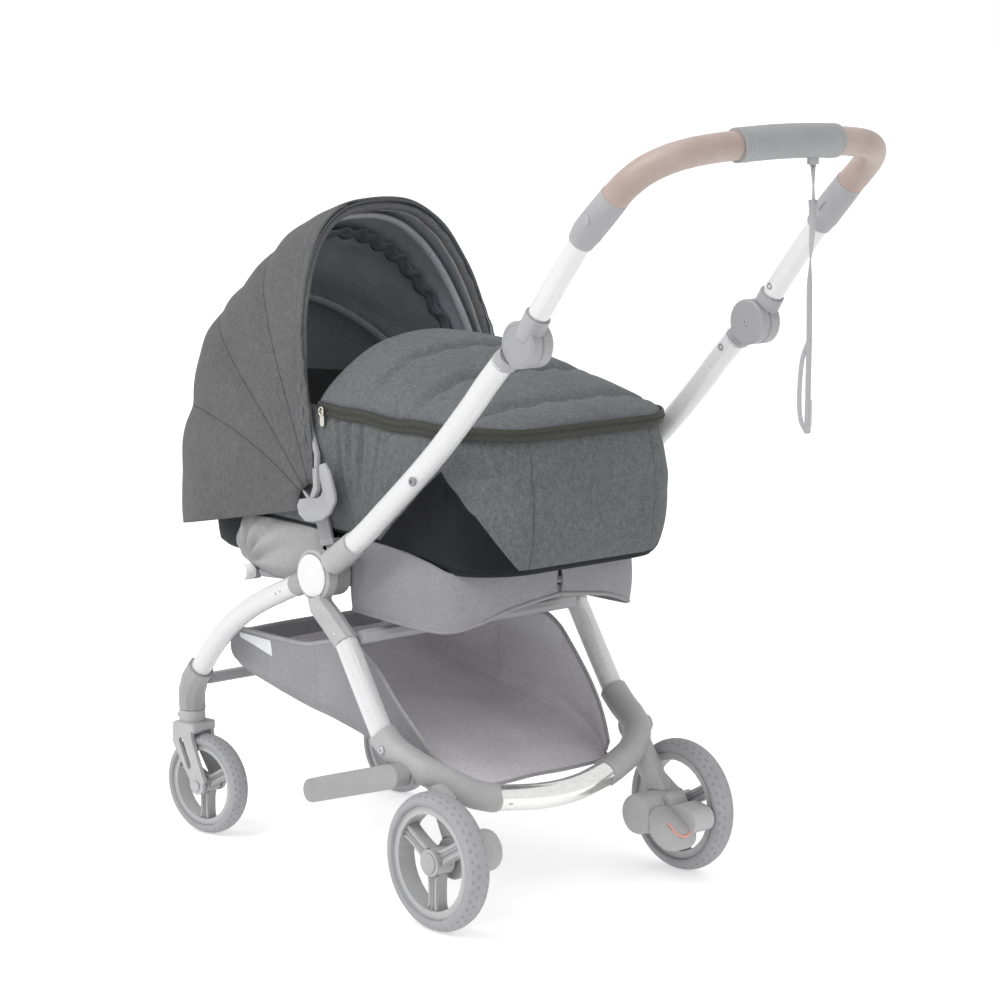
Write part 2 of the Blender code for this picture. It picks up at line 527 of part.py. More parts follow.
# ---- push frame ----
PUSH_START = (hub_y + 0.0385 * 0.832, hub_z + 0.0385 * 0.555)
for s, side in SIDES:
    push = tube(f"push_tube_{side}", smooth_path([
        at(s * PUSH_X, hub_y + 0.078 * 0.832, hub_z + 0.078 * 0.555), at(s * PUSH_X, 0.203, 0.5125), at(s * PUSH_X, 0.267, 0.566),
        at(s * PUSH_X, 0.322, 0.615), at(s * PUSH_X, 0.380, 0.6725), at(s * PUSH_X, 0.411, 0.7060), at(s * PUSH_X, 0.4425, 0.7375),
        at(s * PUSH_X, 0.4500, 0.7450)], 0.03),
        TUBE_R, ALUMINIUM, 3)
    sock = rod(f"push_socket_{side}", at(s * PUSH_X, *PUSH_START), at(s * PUSH_X, hub_y + 0.096 * 0.832, hub_z + 0.096 * 0.555),
               0.0165, PLASTIC, 20)
    face(push, at(s * PUSH_X, *PUSH_END), (0, 0.707, 0.707), 0.08)
    bake(push)
    eye = knuckle(f"push_knuckle_{side}", s, 0.1785, 0.1900, (0.145, 0.467), 0.024, PLASTIC)
    bake(eye)
    union(push, sock, eye)
    cut(push, rod(f"push_bore_{side}", at(s * 0.17, *HUB), at(s * 0.1903, *HUB), 0.0083, PLASTIC, 20))
    bake(push)
    set_origin(push, at(s * PUSH_X, *HUB))

    elbow = rod(f"elbow_lower_{side}", at(s * 0.1773, *ELBOW), at(s * 0.1943, *ELBOW), ELBOW_R, PLASTIC, 26, bevel=0.002)
    inner = Vector((0, 0.4430 - ELBOW[0], 0.7380 - ELBOW[1]))
    low = rod(f"elbow_low_socket_{side}", at(s * PUSH_X, ELBOW[0] + inner.y * 0.2, ELBOW[1] + inner.z * 0.2),
              at(s * PUSH_X, 0.4360, 0.7311), 0.0165, PLASTIC, 20)
    face(low, at(s * PUSH_X, *PUSH_END), (0, -0.707, -0.707), 0.08)
    cut(low, rod(f"elbow_low_clear_{side}", at(s * 0.1942, *ELBOW), at(s * 0.23, *ELBOW), 0.0299, PLASTIC, 26))
    bake(low)
    pivot = rod(f"elbow_pin_{side}", at(s * 0.19, *ELBOW), at(s * 0.2035, *ELBOW), 0.0065, STEEL, 16)
    union(elbow, low, pivot)
    bake(elbow)
    set_origin(elbow, at(s * PUSH_X, *ELBOW))

    # ---- upper handle ----
    upper = rod(f"elbow_upper_{side}", at(s * 0.1946, *ELBOW), at(s * 0.2123, *ELBOW), ELBOW_R, PLASTIC, 26, bevel=0.002)
    high = rod(f"elbow_high_socket_{side}", at(s * PUSH_X, 0.4870, 0.7715), at(s * PUSH_X, 0.5090, 0.8060), 0.0165, PLASTIC, 20)
    face(high, at(s * PUSH_X, *HANDLE_START), (0, 0.58, 0.81), 0.08)
    cut(high, rod(f"elbow_high_clear_{side}", at(s * 0.17, *ELBOW), at(s * 0.1947, *ELBOW), 0.0299, PLASTIC, 26))
    bake(high)
    union(upper, high)
    cut(upper, rod(f"elbow_bore_{side}", at(s * 0.19, *ELBOW), at(s * 0.2045, *ELBOW), 0.0068, PLASTIC, 16))
    bake(upper)
    set_origin(upper, at(s * PUSH_X, *ELBOW))

    stay = tube(f"handle_tube_{side}", smooth_path([at(s * PUSH_X, 0.5000, 0.7930), at(s * PUSH_X, 0.5050, 0.7995), at(s * 0.2010, 0.543, 0.8470),
                                            at(s * 0.2015, 0.566, 0.8745), at(s * 0.2018, 0.5843, 0.8970),
                                            at(s * 0.2018, 0.5900, 0.9040)], 0.03), 0.0130, ALUMINIUM, 3)
    face(stay, at(s * PUSH_X, *HANDLE_START), (0, -0.58, -0.81), 0.05)
    face(stay, at(s * 0.2018, *SLEEVE_LOW), (0, 0.65, 0.76), 0.05)
    bake(stay)
    sleeve = tube(f"handle_sleeve_{side}", [at(s * 0.2018, 0.5800, 0.8920), at(s * 0.2015, 0.592, 0.9055), at(s * 0.2004, 0.607, 0.9205),
                                            at(s * 0.1991, 0.625, 0.938), at(s * 0.1985, 0.6360, 0.9490)], 0.0180, PLASTIC, 3,
                  radii=[0.86, 1.0, 1.0, 0.99, 0.96])
    face(sleeve, at(s * 0.2018, *SLEEVE_LOW), (0, -0.65, -0.76), 0.05)
    face(sleeve, at(s * 0.1988, *SLEEVE_HIGH), (0, 0.707, 0.707), 0.06)
    cut(sleeve, rod(f"button_pocket_{side}", at(s * 0.2100, 0.607, 0.9205), at(s * 0.23, 0.607, 0.9205), 0.0070, PLASTIC, 20))
    bake(sleeve)
    rod(f"release_button_{side}", at(s * 0.2130, 0.607, 0.9205), at(s * 0.2200, 0.607, 0.9205), 0.0066, PLASTIC, 20, bevel=0.0008)
    leather = tube(f"leather_grip_{side}", smooth_path([at(s * 0.1990, 0.6240, 0.9375), at(s * 0.1988, 0.6303, 0.9434), at(s * 0.1975, 0.6520, 0.9625), at(s * 0.1900, 0.6745, 0.9800),
                                             at(s * 0.1740, 0.6930, 0.9925), at(s * 0.1500, 0.7055, 1.0005), at(s * 0.1180, 0.7120, 1.0050),
                                             at(s * 0.0830, 0.7150, 1.0075), at(s * 0.0760, 0.7155, 1.0079)], 0.018), 0.0168, LEATHER, 3)
    face(leather, at(s * 0.1988, *SLEEVE_HIGH), (0, -0.707, -0.707), 0.05)
    face(leather, at(s * GRIP_END, 0.7150, 1.0075), (-s, 0, 0), 0.05)
    bake(leather)

centre_grip = tube("centre_grip", smooth_path([at(-0.0870, 0.7148, 1.0073), at(-0.0827, 0.7150, 1.0075), at(-0.05, 0.7175, 1.0090), at(0, 0.7190, 1.0100),
                                               at(0.05, 0.7175, 1.0090), at(0.0827, 0.7150, 1.0075), at(0.0870, 0.7148, 1.0073)], 0.02), 0.0200, GRIP, 4)
for s, side in SIDES:
    face(centre_grip, at(s * GRIP_END, 0.7150, 1.0075), (s, 0, 0), 0.08)
eyelet = box("strap_eye", at(-0.042, 0.7200, 0.9880), (0.014, 0.006, 0.014), GRIP)
union(centre_grip, eyelet)
bake(centre_grip)

# ---- wrist strap: webbing that hangs from the eye ----
STRAP_TOP = (-0.042, 0.7200, 0.9806)
STRAP_LOW = 0.659
strap_points = [at(STRAP_TOP[0] - 0.001 * math.sin(i * 0.9), STRAP_TOP[1] + 0.0012 * math.sin(i * 0.6), STRAP_TOP[2] - (STRAP_TOP[2] - STRAP_LOW) * i / 14)
                for i in range(15)]
tube("wrist_strap", strap_points, 0.0035, BLACK, 2)

# ---- front frame ----
FRONT_DIR = Vector((0, -0.022 - hub_y, 0.379 - hub_z)).normalized()
for s, side in SIDES:
    front = tube(f"front_leg_{side}", smooth_path([
        at(s * FRONT_LEG_X, hub_y + FRONT_DIR.y * 0.0385, hub_z + FRONT_DIR.z * 0.0385), at(s * FRONT_LEG_X, -0.022, 0.379),
        at(s * FRONT_LEG_X, -0.078, 0.353), at(s * FRONT_LEG_X, -0.131, 0.3195), at(s * FRONT_LEG_X, -0.174, 0.281),
        at(s * FRONT_LEG_X, -0.207, 0.243), at(s * FRONT_LEG_X, -0.2125, 0.2367)], 0.03), FRONT_TUBE_R, ALUMINIUM, 3)
    face(front, at(s * FRONT_LEG_X, *FRONT_END), (0, -0.667, -0.745), 0.06)
    bake(front)
    collar = rod(f"front_socket_{side}", at(s * FRONT_LEG_X, hub_y + FRONT_DIR.y * 0.038, hub_z + FRONT_DIR.z * 0.038),
                 at(s * FRONT_LEG_X, hub_y + FRONT_DIR.y * 0.062, hub_z + FRONT_DIR.z * 0.062), 0.0152, PLASTIC, 20)
    eye = knuckle(f"front_knuckle_{side}", s, 0.1666, 0.1781, (-0.022, 0.379), 0.022, PLASTIC)
    bake(eye)
    union(front, collar, eye)
    cut(front, rod(f"front_bore_{side}", at(s * 0.16, *HUB), at(s * 0.1784, *HUB), 0.0083, PLASTIC, 20))
    bake(front)
    set_origin(front, at(s * FRONT_LEG_X, *HUB))

    cx, cy = s * CASTER[0], CASTER[1]
    housing = tube(f"caster_housing_{side}", smooth_path([
        at(s * FRONT_LEG_X, -0.2015, 0.2490), at(s * FRONT_LEG_X, -0.2073, 0.2426), at(s * 0.1885, -0.2240, 0.2245), at(s * 0.1830, -0.2395, 0.2035),
        at(s * 0.1770, -0.2485, 0.1870), at(cx, cy, 0.1755), at(cx, cy, 0.1650)], 0.02), 0.0190, PLASTIC, 3, radii=None)
    face(housing, at(s * FRONT_LEG_X, *FRONT_END), (0, 0.667, 0.745), 0.06)
    face(housing, at(cx, cy, FORK_TOP), (0, 0, -1), 0.06)
    bake(housing)
    # ---- caster ----
    turn = CASTER_TURN[s]
    spin = Matrix.Rotation(turn, 4, "Z")
    pivot = at(cx, cy, 0.0)

    def swing(x, y, z):
        """A point in the caster's own frame, carried round its swivel axis."""
        return pivot + spin @ Vector((x, y, z))

    fork = rod(f"caster_fork_{side}", swing(0, 0, 0.1500), swing(0, 0, FORK_TOP - GAP / 2), 0.0185, PLASTIC, 24, bevel=0.002)
    crown = box(f"fork_crown_{side}", swing(0, 0.004, 0.1515), (0.0455, 0.040, 0.013), PLASTIC, turn=spin.to_3x3(), bevel=0.002)
    arms = []
    for hand in (1, -1):
        blade = [(-0.017, 0.156), (0.018, 0.156), (0.021, 0.135), (0.0325 + 0.0125, 0.078)]
        blade += around((CASTER_TRAIL, FRONT_WHEEL_R), 0.0130, 20, -200, 8)
        blade += [(-0.017, 0.128)]
        arm = outline(f"fork_arm_{side}_{hand}", blade, 0.0062, PLASTIC, centre=hand * 0.0197)
        if hand == s:
            cut(arm, outline(f"fork_slot_{side}", stadium((-0.0005, 0.132), (0.0150, 0.097), 0.0042, 6), 0.03, PLASTIC, centre=hand * 0.0197))
            bake(arm)
        arm.matrix_world = Matrix.Translation(pivot) @ spin
        arms.append(arm)
    knob = rod(f"swivel_lock_{side}", swing(0, -0.010, 0.1620), swing(0, -0.026, 0.1620), 0.0042, PLASTIC, 14)
    union(fork, crown, *arms, knob)
    cut(fork, rod(f"fork_bore_{side}", swing(-0.03, CASTER_TRAIL, FRONT_WHEEL_R), swing(0.03, CASTER_TRAIL, FRONT_WHEEL_R), 0.0043, PLASTIC, 14))
    bake(fork)
    set_origin(fork, at(cx, cy, 0.160))
    axle = rod(f"front_axle_{side}", swing(-0.0232, CASTER_TRAIL, FRONT_WHEEL_R), swing(0.0232, CASTER_TRAIL, FRONT_WHEEL_R), 0.0040, STEEL, 14)
    for hand in (1, -1):
        union(axle, rod(f"axle_head_{side}_{hand}", swing(hand * 0.0230, CASTER_TRAIL, FRONT_WHEEL_R),
                        swing(hand * 0.0250, CASTER_TRAIL, FRONT_WHEEL_R), 0.0065, STEEL, 16))
    bake(axle)

box("front_crossbar", at(0, -0.232, 0.2190), (0.3300, 0.016, 0.014), PLASTIC, bevel=0.003)


# ---- wheels ----
def turned(name, profile, mat, steps=30):
    """A ring turned about the X axis from a closed profile of (along the axis, radius)."""
    bm = bmesh.new()
    verts = [bm.verts.new((r, 0, x)) for x, r in profile]
    for a, b in zip(verts, verts[1:] + verts[:1]):
        bm.edges.new((a, b))
    mesh = bpy.data.meshes.new(name)
    bm.to_mesh(mesh)
    bm.free()
    obj = bpy.data.objects.new(name, mesh)
    parts.objects.link(obj)
    mesh.materials.append(mat)
    made = obj.modifiers.new("turn", "SCREW")
    made.axis = "Z"
    made.steps = made.render_steps = steps
    made.use_merge_vertices = True
    made.merge_threshold = 1e-5
    made.use_normal_calculate = True
    bake(obj)
    bm = bmesh.new()
    bm.from_mesh(obj.data)
    bmesh.ops.remove_doubles(bm, verts=bm.verts, dist=1e-6)
    bmesh.ops.recalc_face_normals(bm, faces=bm.faces)
    bm.transform(Matrix.Rotation(math.radians(90), 4, "Y"))
    bm.to_mesh(obj.data)
    bm.free()
    return obj


def wheel(side, s, where, radius, half, centre, spin, hub_r, bore, cap):
    """A rim with three spokes and its tyre. The spokes are straight bars joined by a Boolean."""
    rim_out, rim_in = radius * 0.815, radius * 0.70
    rim = turned(f"{where}_rim_{side}", [(half * 0.72, rim_out), (-half * 0.72, rim_out), (-half * 0.78, rim_in), (half * 0.78, rim_in)], PLASTIC)
    hub = rod(f"{where}_hub_{side}", (-half * 0.86, 0, 0), (half * 0.86, 0, 0), hub_r, PLASTIC, 24)
    spokes = []
    for k in range(3):
        angle = math.radians(-90 + 120 * k)
        mid = (rim_in + hub_r * 0.4) / 2 + 0.001
        spokes.append(box(f"{where}_spoke_{side}_{k}", (0, mid * math.cos(angle), mid * math.sin(angle)),
                          (half * 0.85, rim_in - hub_r * 0.4 + 0.004, radius * 0.21), PLASTIC, turn=Matrix.Rotation(angle, 3, "X")))
    union(rim, hub, *spokes)
    if cap:
        cut(rim, rod(f"{where}_bore_{side}", (-s * half * 1.3, 0, 0), (s * half * 0.66, 0, 0), bore, PLASTIC, 16))
    else:
        cut(rim, rod(f"{where}_bore_{side}", (-half * 1.3, 0, 0), (half * 1.3, 0, 0), bore, PLASTIC, 16))
    bake(rim)
    inner = rim_out + 0.0003
    crown = [(half * 0.86, inner), (half * 1.0, inner + (radius - inner) * 0.42), (half * 0.84, inner + (radius - inner) * 0.80),
             (half * 0.38, radius), (-half * 0.38, radius), (-half * 0.84, inner + (radius - inner) * 0.80),
             (-half * 1.0, inner + (radius - inner) * 0.42), (-half * 0.86, inner)]
    tyre = turned(f"{where}_tyre_{side}", crown, RUBBER, 36)
    for obj in (rim, tyre):
        obj.data.transform(spin)
        obj.location = centre
    return rim, tyre


for s, side in SIDES:
    wheel(side, s, "rear", REAR_WHEEL[2], REAR_TYRE_HALF, at(s * REAR_WHEEL[0], REAR_WHEEL[1], REAR_WHEEL[2]),
          Matrix.Identity(4), 0.0175, 0.0063, True)
    spin = Matrix.Rotation(CASTER_TURN[s], 4, "Z")
    centre = at(s * CASTER[0], CASTER[1], 0) + spin @ Vector((0, CASTER_TRAIL, FRONT_WHEEL_R))
    wheel(side, s, "front", FRONT_WHEEL_R, FRONT_TYRE_HALF, centre, spin, 0.0120, 0.0043, False)

# ---- brake pedal, stand lever, zip puller ----
wheel_y, wheel_z = REAR_WHEEL[1], REAR_WHEEL[2]
saddle = around((wheel_y, wheel_z), 0.0370, 48, -95, 10) + around((wheel_y, wheel_z), 0.0290, -95, 48, 10)
pedal = outline("brake_pedal", yz(saddle), 0.0320, PLASTIC, centre=-0.1776)
union(pedal, outline("pedal_paddle", yz(stadium((wheel_y + 0.050, wheel_z + 0.001), (wheel_y + 0.066, wheel_z - 0.001), 0.0175)), 0.0360, PLASTIC,
                     centre=-0.1770))
bake(pedal)
set_origin(pedal, at(-0.1776, wheel_y, wheel_z))

lever = outline("stand_lever", yz(stadium(LEVER_PIVOT, LEVER_TIP, 0.0160)), 0.0235, PLASTIC, centre=0.2203)
edge = lever.modifiers.new("edge", "BEVEL")
edge.width = 0.0015
edge.segments = 1
edge.limit_method = "ANGLE"
edge.angle_limit = math.radians(60)
bake(lever)
set_origin(lever, at(0.2203, *LEVER_PIVOT))

puller = outline("zip_puller", [(-0.0035, 0.0), (0.0035, 0.0), (0.0045, -0.018), (0.0030, -0.022), (-0.0030, -0.022), (-0.0045, -0.018)],
                 0.0016, STEEL, centre=0.0)
puller.location = at(0.1695, 0.044, 0.6315)
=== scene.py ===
import math

import bmesh
import bpy
from mathutils import Matrix, Vector, noise


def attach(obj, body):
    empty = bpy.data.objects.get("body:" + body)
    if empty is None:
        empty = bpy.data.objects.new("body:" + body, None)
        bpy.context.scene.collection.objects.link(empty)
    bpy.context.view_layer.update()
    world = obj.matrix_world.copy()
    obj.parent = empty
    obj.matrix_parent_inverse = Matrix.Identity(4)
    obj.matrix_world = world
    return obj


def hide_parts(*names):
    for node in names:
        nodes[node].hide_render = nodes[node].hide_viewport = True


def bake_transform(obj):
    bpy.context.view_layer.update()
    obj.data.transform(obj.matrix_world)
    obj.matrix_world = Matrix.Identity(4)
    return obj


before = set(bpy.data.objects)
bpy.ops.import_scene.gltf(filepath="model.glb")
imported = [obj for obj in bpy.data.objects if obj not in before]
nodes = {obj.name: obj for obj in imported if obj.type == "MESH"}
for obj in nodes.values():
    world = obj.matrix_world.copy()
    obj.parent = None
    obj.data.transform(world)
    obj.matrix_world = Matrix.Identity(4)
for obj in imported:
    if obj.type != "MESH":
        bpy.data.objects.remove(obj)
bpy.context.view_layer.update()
scene = bpy.context.scene
MID_Y = 0.16615
SIDES = ((1, "left"), (-1, "right"))


def at(x, y, z):
    return Vector((x, y - MID_Y, z))


def lin(*rgb):
    out = []
    for v in rgb:
        v = v / 255
        out.append(v / 12.92 if v <= 0.04045 else ((v + 0.055) / 1.055) ** 2.4)
    return (*out, 1.0)


# ------------------------------------------------------------------ materials
class Shade:
    """A material being built: a Principled shader and short names for the nodes that feed it."""

    def __init__(self, name, rough=0.5, metallic=0.0, **sockets):
        self.mat = bpy.data.materials.new(name)
        self.mat.use_nodes = True
        self.tree = self.mat.node_tree
        self.tree.nodes.clear()
        self.out = self.tree.nodes.new("ShaderNodeOutputMaterial")
        self.bsdf = self.tree.nodes.new("ShaderNodeBsdfPrincipled")
        self.link(self.bsdf.outputs[0], self.out.inputs[0])
        self.bsdf.inputs["Roughness"].default_value = rough
        self.bsdf.inputs["Metallic"].default_value = metallic
        for key, value in sockets.items():
            self.bsdf.inputs[key.replace("_", " ")].default_value = value
        self.co = self.tree.nodes.new("ShaderNodeTexCoord").outputs["Object"]
        self._xyz = None
        self.normal = None

    def link(self, a, b):
        self.tree.links.new(a, b)

    def put(self, socket, value):
        if isinstance(value, bpy.types.NodeSocket):
            self.link(value, socket)
        else:
            socket.default_value = value

    @property
    def xyz(self):
        if self._xyz is None:
            split = self.tree.nodes.new("ShaderNodeSeparateXYZ")
            self.link(self.co, split.inputs[0])
            self._xyz = split.outputs
        return self._xyz

    def math(self, op, a, b=0.0, c=0.0, clamp=False):
        n = self.tree.nodes.new("ShaderNodeMath")
        n.operation = op
        n.use_clamp = clamp
        for i, v in enumerate((a, b, c)):
            self.put(n.inputs[i], v)
        return n.outputs[0]

    def noise(self, scale, detail=3.0, rough=0.5, stretch=None, distortion=0.0):
        n = self.tree.nodes.new("ShaderNodeTexNoise")
        n.inputs["Scale"].default_value = scale
        n.inputs["Detail"].default_value = detail
        n.inputs["Roughness"].default_value = rough
        n.inputs["Distortion"].default_value = distortion
        self.link(self.mapped(stretch) if stretch else self.co, n.inputs["Vector"])
        return n.outputs["Fac"]

    def mapped(self, scale=(1, 1, 1), turn=(0, 0, 0)):
        n = self.tree.nodes.new("ShaderNodeMapping")
        n.inputs["Scale"].default_value = scale
        n.inputs["Rotation"].default_value = turn
        self.link(self.co, n.inputs["Vector"])
        return n.outputs[0]

    def wave(self, scale, turn=(0, 0, 0), kind="X", distortion=0.0, stretch=(1, 1, 1)):
        n = self.tree.nodes.new("ShaderNodeTexWave")
        n.bands_direction = kind
        n.inputs["Scale"].default_value = scale
        n.inputs["Distortion"].default_value = distortion
        n.inputs["Detail"].default_value = 1.0
        self.link(self.mapped(stretch, turn), n.inputs["Vector"])
        return n.outputs["Fac"]

    def cells(self, scale, feature="F1", metric="EUCLIDEAN"):
        n = self.tree.nodes.new("ShaderNodeTexVoronoi")
        n.feature = feature
        n.inputs["Scale"].default_value = scale
        self.link(self.co, n.inputs["Vector"])
        return n.outputs["Distance"]

    def span(self, value, low, high, to_low=0.0, to_high=1.0, smooth=False):
        n = self.tree.nodes.new("ShaderNodeMapRange")
        n.interpolation_type = "SMOOTHSTEP" if smooth else "LINEAR"
        for i, v in enumerate((value, low, high, to_low, to_high)):
            self.put(n.inputs[i], v)
        return n.outputs[0]

    def mix(self, factor, a, b):
        n = self.tree.nodes.new("ShaderNodeMix")
        n.data_type = "RGBA"
        self.put(n.inputs[0], factor)
        self.put(n.inputs[6], a)
        self.put(n.inputs[7], b)
        return n.outputs[2]

    def scaled(self, colour, factor):
        """A colour, lighter or darker by a factor socket."""
        n = self.tree.nodes.new("ShaderNodeMix")
        n.data_type = "RGBA"
        n.blend_type = "MULTIPLY"
        n.inputs[0].default_value = 1.0
        self.put(n.inputs[6], colour)
        join = self.tree.nodes.new("ShaderNodeCombineColor")
        for i in range(3):
            self.link(factor, join.inputs[i])
        self.link(join.outputs[0], n.inputs[7])
        return n.outputs[2]

    def bump(self, height, strength, distance=0.001):
        n = self.tree.nodes.new("ShaderNodeBump")
        n.inputs["Strength"].default_value = strength
        n.inputs["Distance"].default_value = distance
        self.put(n.inputs["Height"], height)
        if self.normal is not None:
            self.link(self.normal, n.inputs["Normal"])
        self.normal = n.outputs[0]

    def done(self, colour=None, rough=None):
        if colour is not None:
            self.put(self.bsdf.inputs["Base Color"], colour)
        if rough is not None:
            self.put(self.bsdf.inputs["Roughness"], rough)
        if self.normal is not None:
            self.link(self.normal, self.bsdf.inputs["Normal"])
        return self.mat

    # masks that repeat the part's own positions
    def near_point(self, point, radius, soft=0.0006):
        """1 within radius of a line through point along X."""
        y = self.math("SUBTRACT", self.xyz[1], point[0] - MID_Y)
        z = self.math("SUBTRACT", self.xyz[2], point[1])
        d = self.math("SQRT", self.math("ADD", self.math("MULTIPLY", y, y), self.math("MULTIPLY", z, z)))
        return self.span(d, radius - soft, radius + soft, 1.0, 0.0)

    def line(self, value, where, width):
        """1 on a line where value equals where, falling off over width."""
        d = self.math("ABSOLUTE", self.math("SUBTRACT", value, where))
        return self.span(d, 0.0, width, 1.0, 0.0, smooth=True)


def weave(s, pitch, strength=0.35, twill=True):
    """Two crossed sets of yarns, as height from 0 to 1."""
    k = 1.0 / pitch
    long, cross = (0.22, 0.22, 1.0), (1.0, 1.0, 0.22)
    a = s.noise(k, 1.0, 0.4, stretch=long)
    b = s.noise(k, 1.0, 0.4, stretch=cross)
    both = s.span(s.math("MAXIMUM", a, b), 0.42, 0.66)
    s.bump(both, strength, pitch * 0.35)
    return both


def melange(name, colour, contrast=0.30, extra=None, wrinkle=0.25, sheen=0.03):
    """Charcoal twill of mixed light and dark yarns."""
    s = Shade(name, rough=0.92, Sheen_Weight=sheen, Sheen_Roughness=0.5, Specular_IOR_Level=0.25)
    yarn = weave(s, 0.0016, 0.30)
    fleck = s.noise(620, 2.0, 0.6, stretch=(1.0, 1.0, 2.2))
    coarse = s.noise(190, 3.0, 0.65, stretch=(1.0, 1.0, 0.5))
    tone = s.span(s.math("ADD", s.math("MULTIPLY", fleck, 0.6), s.math("MULTIPLY", coarse, 0.4)), 0.36, 0.64, 1 - contrast, 1 + contrast)
    tone = s.math("MULTIPLY", tone, s.span(yarn, 0.0, 1.0, 0.84, 1.10))
    tone = s.math("MULTIPLY", tone, s.span(s.noise(7, 3.0, 0.5), 0.3, 0.7, 0.93, 1.07))
    base = s.scaled(colour, tone)
    s.bump(s.noise(26, 4.0, 0.55), wrinkle, 0.006)
    if extra:
        base = extra(s, base)
    return s.done(base, s.span(fleck, 0.2, 0.8, 0.86, 0.97))


def cloth(name, colour, pitch=0.0013, contrast=0.12, rough=0.85, wrinkle=0.35, wrinkle_scale=22, extra=None, sheen=0.02, strength=0.25):
    """Plain-weave cloth with soft wrinkles."""
    s = Shade(name, rough=rough, Sheen_Weight=sheen, Sheen_Roughness=0.6, Specular_IOR_Level=0.2)
    yarn = weave(s, pitch, strength, twill=False)
    tone = s.math("MULTIPLY", s.span(s.noise(420, 2.0, 0.6), 0.3, 0.7, 1 - contrast, 1 + contrast), s.span(yarn, 0, 1, 0.90, 1.06))
    tone = s.math("MULTIPLY", tone, s.span(s.noise(11, 3.0, 0.5), 0.3, 0.7, 0.93, 1.07))
    base = s.scaled(colour, tone)
    s.bump(s.noise(wrinkle_scale, 4.0, 0.55), wrinkle, 0.008)
    if extra:
        base = extra(s, base)
    return s.done(base, s.span(yarn, 0, 1, rough - 0.06, min(1.0, rough + 0.06)))


def plastic(name, colour, rough=0.52, grain=0.10, extra=None, coat=0.0):
    """Moulded plastic: fine spark-eroded grain, handling marks, rubbed edges."""
    s = Shade(name, rough=rough, Coat_Weight=coat)
    tone = s.math("MULTIPLY", s.span(s.noise(38, 4.0, 0.6), 0.3, 0.7, 0.79, 0.86), s.span(s.noise(700, 1.0, 0.5), 0.3, 0.7, 0.96, 1.04))
    base = s.scaled(colour, tone)
    edge = s.tree.nodes.new("ShaderNodeNewGeometry").outputs["Pointiness"]
    base = s.mix(s.span(edge, 0.53, 0.62, 0.0, 0.14), base, (0.70, 0.70, 0.70, 1))
    s.bump(s.noise(1300, 2.0, 0.6), grain, 0.0004)
    s.bump(s.noise(60, 3.0, 0.5), 0.05, 0.002)
    if extra:
        base = extra(s, base)
    return s.done(base, s.span(s.noise(85, 4.0, 0.65), 0.3, 0.7, rough - 0.07, rough + 0.08))


def tube_metal(name, colour=(0.60, 0.60, 0.605, 1), masks=None, ridge_x=0.2090):
    """Satin anodised tube: drawn along its length, faint handling marks, and a groove along each side that is painted
    darker as painted shade.
    """
    s = Shade(name, rough=0.34, metallic=0.15)
    tone = s.math("MULTIPLY", s.span(s.noise(240, 2.0, 0.5, stretch=(1.0, 0.06, 0.06)), 0.3, 0.7, 0.985, 1.01), s.span(s.noise(14, 3.0, 0.5), 0.3, 0.7, 0.985, 1.01))
    base = s.scaled(colour, tone)
    side_groove_and_shade = s.line(s.math("ABSOLUTE", s.xyz[0]), ridge_x, 0.0007)
    s.bump(side_groove_and_shade, -0.5, 0.0008)
    # painted shade: the groove line is coloured darker, as if shaded in the groove
    base = s.mix(s.math("MULTIPLY", side_groove_and_shade, 0.30), base, (0.45, 0.45, 0.46, 1))
    if masks:
        mask = masks(s)
        moulded = s.scaled(lin(157, 156, 157), s.span(s.noise(60, 4.0, 0.6), 0.3, 0.7, 0.79, 0.87))
        base = s.mix(mask, base, moulded)
        s.put(s.bsdf.inputs["Metallic"], s.math("MULTIPLY", s.math("SUBTRACT", 1.0, mask), 0.15))
    return s.done(base, s.span(s.noise(70, 3.0, 0.6), 0.3, 0.7, 0.24, 0.36))


def metal(name, colour, rough=0.3, metallic=1.0, streak=(1, 1, 1)):
    s = Shade(name, rough=rough, metallic=metallic)
    base = s.scaled(colour, s.span(s.noise(500, 3.0, 0.6, stretch=streak), 0.3, 0.7, 0.92, 1.04))
    s.bump(s.noise(1400, 2.0, 0.5, stretch=streak), 0.05, 0.0003)
    return s.done(base, s.span(s.noise(120, 4.0, 0.6), 0.3, 0.7, max(0.05, rough - 0.08), rough + 0.1))


def rubber(name, colour, rough=0.82):
    s = Shade(name, rough=rough)
    base = s.scaled(colour, s.math("MULTIPLY", s.span(s.noise(24, 4.0, 0.6), 0.3, 0.7, 0.95, 1.05), s.span(s.noise(700, 2.0, 0.5), 0.3, 0.7, 0.95, 1.05)))
    s.bump(s.noise(900, 2.0, 0.6), 0.16, 0.0006)
    return s.done(base, s.span(s.noise(90, 3.0, 0.6), 0.3, 0.7, rough - 0.08, rough + 0.08))


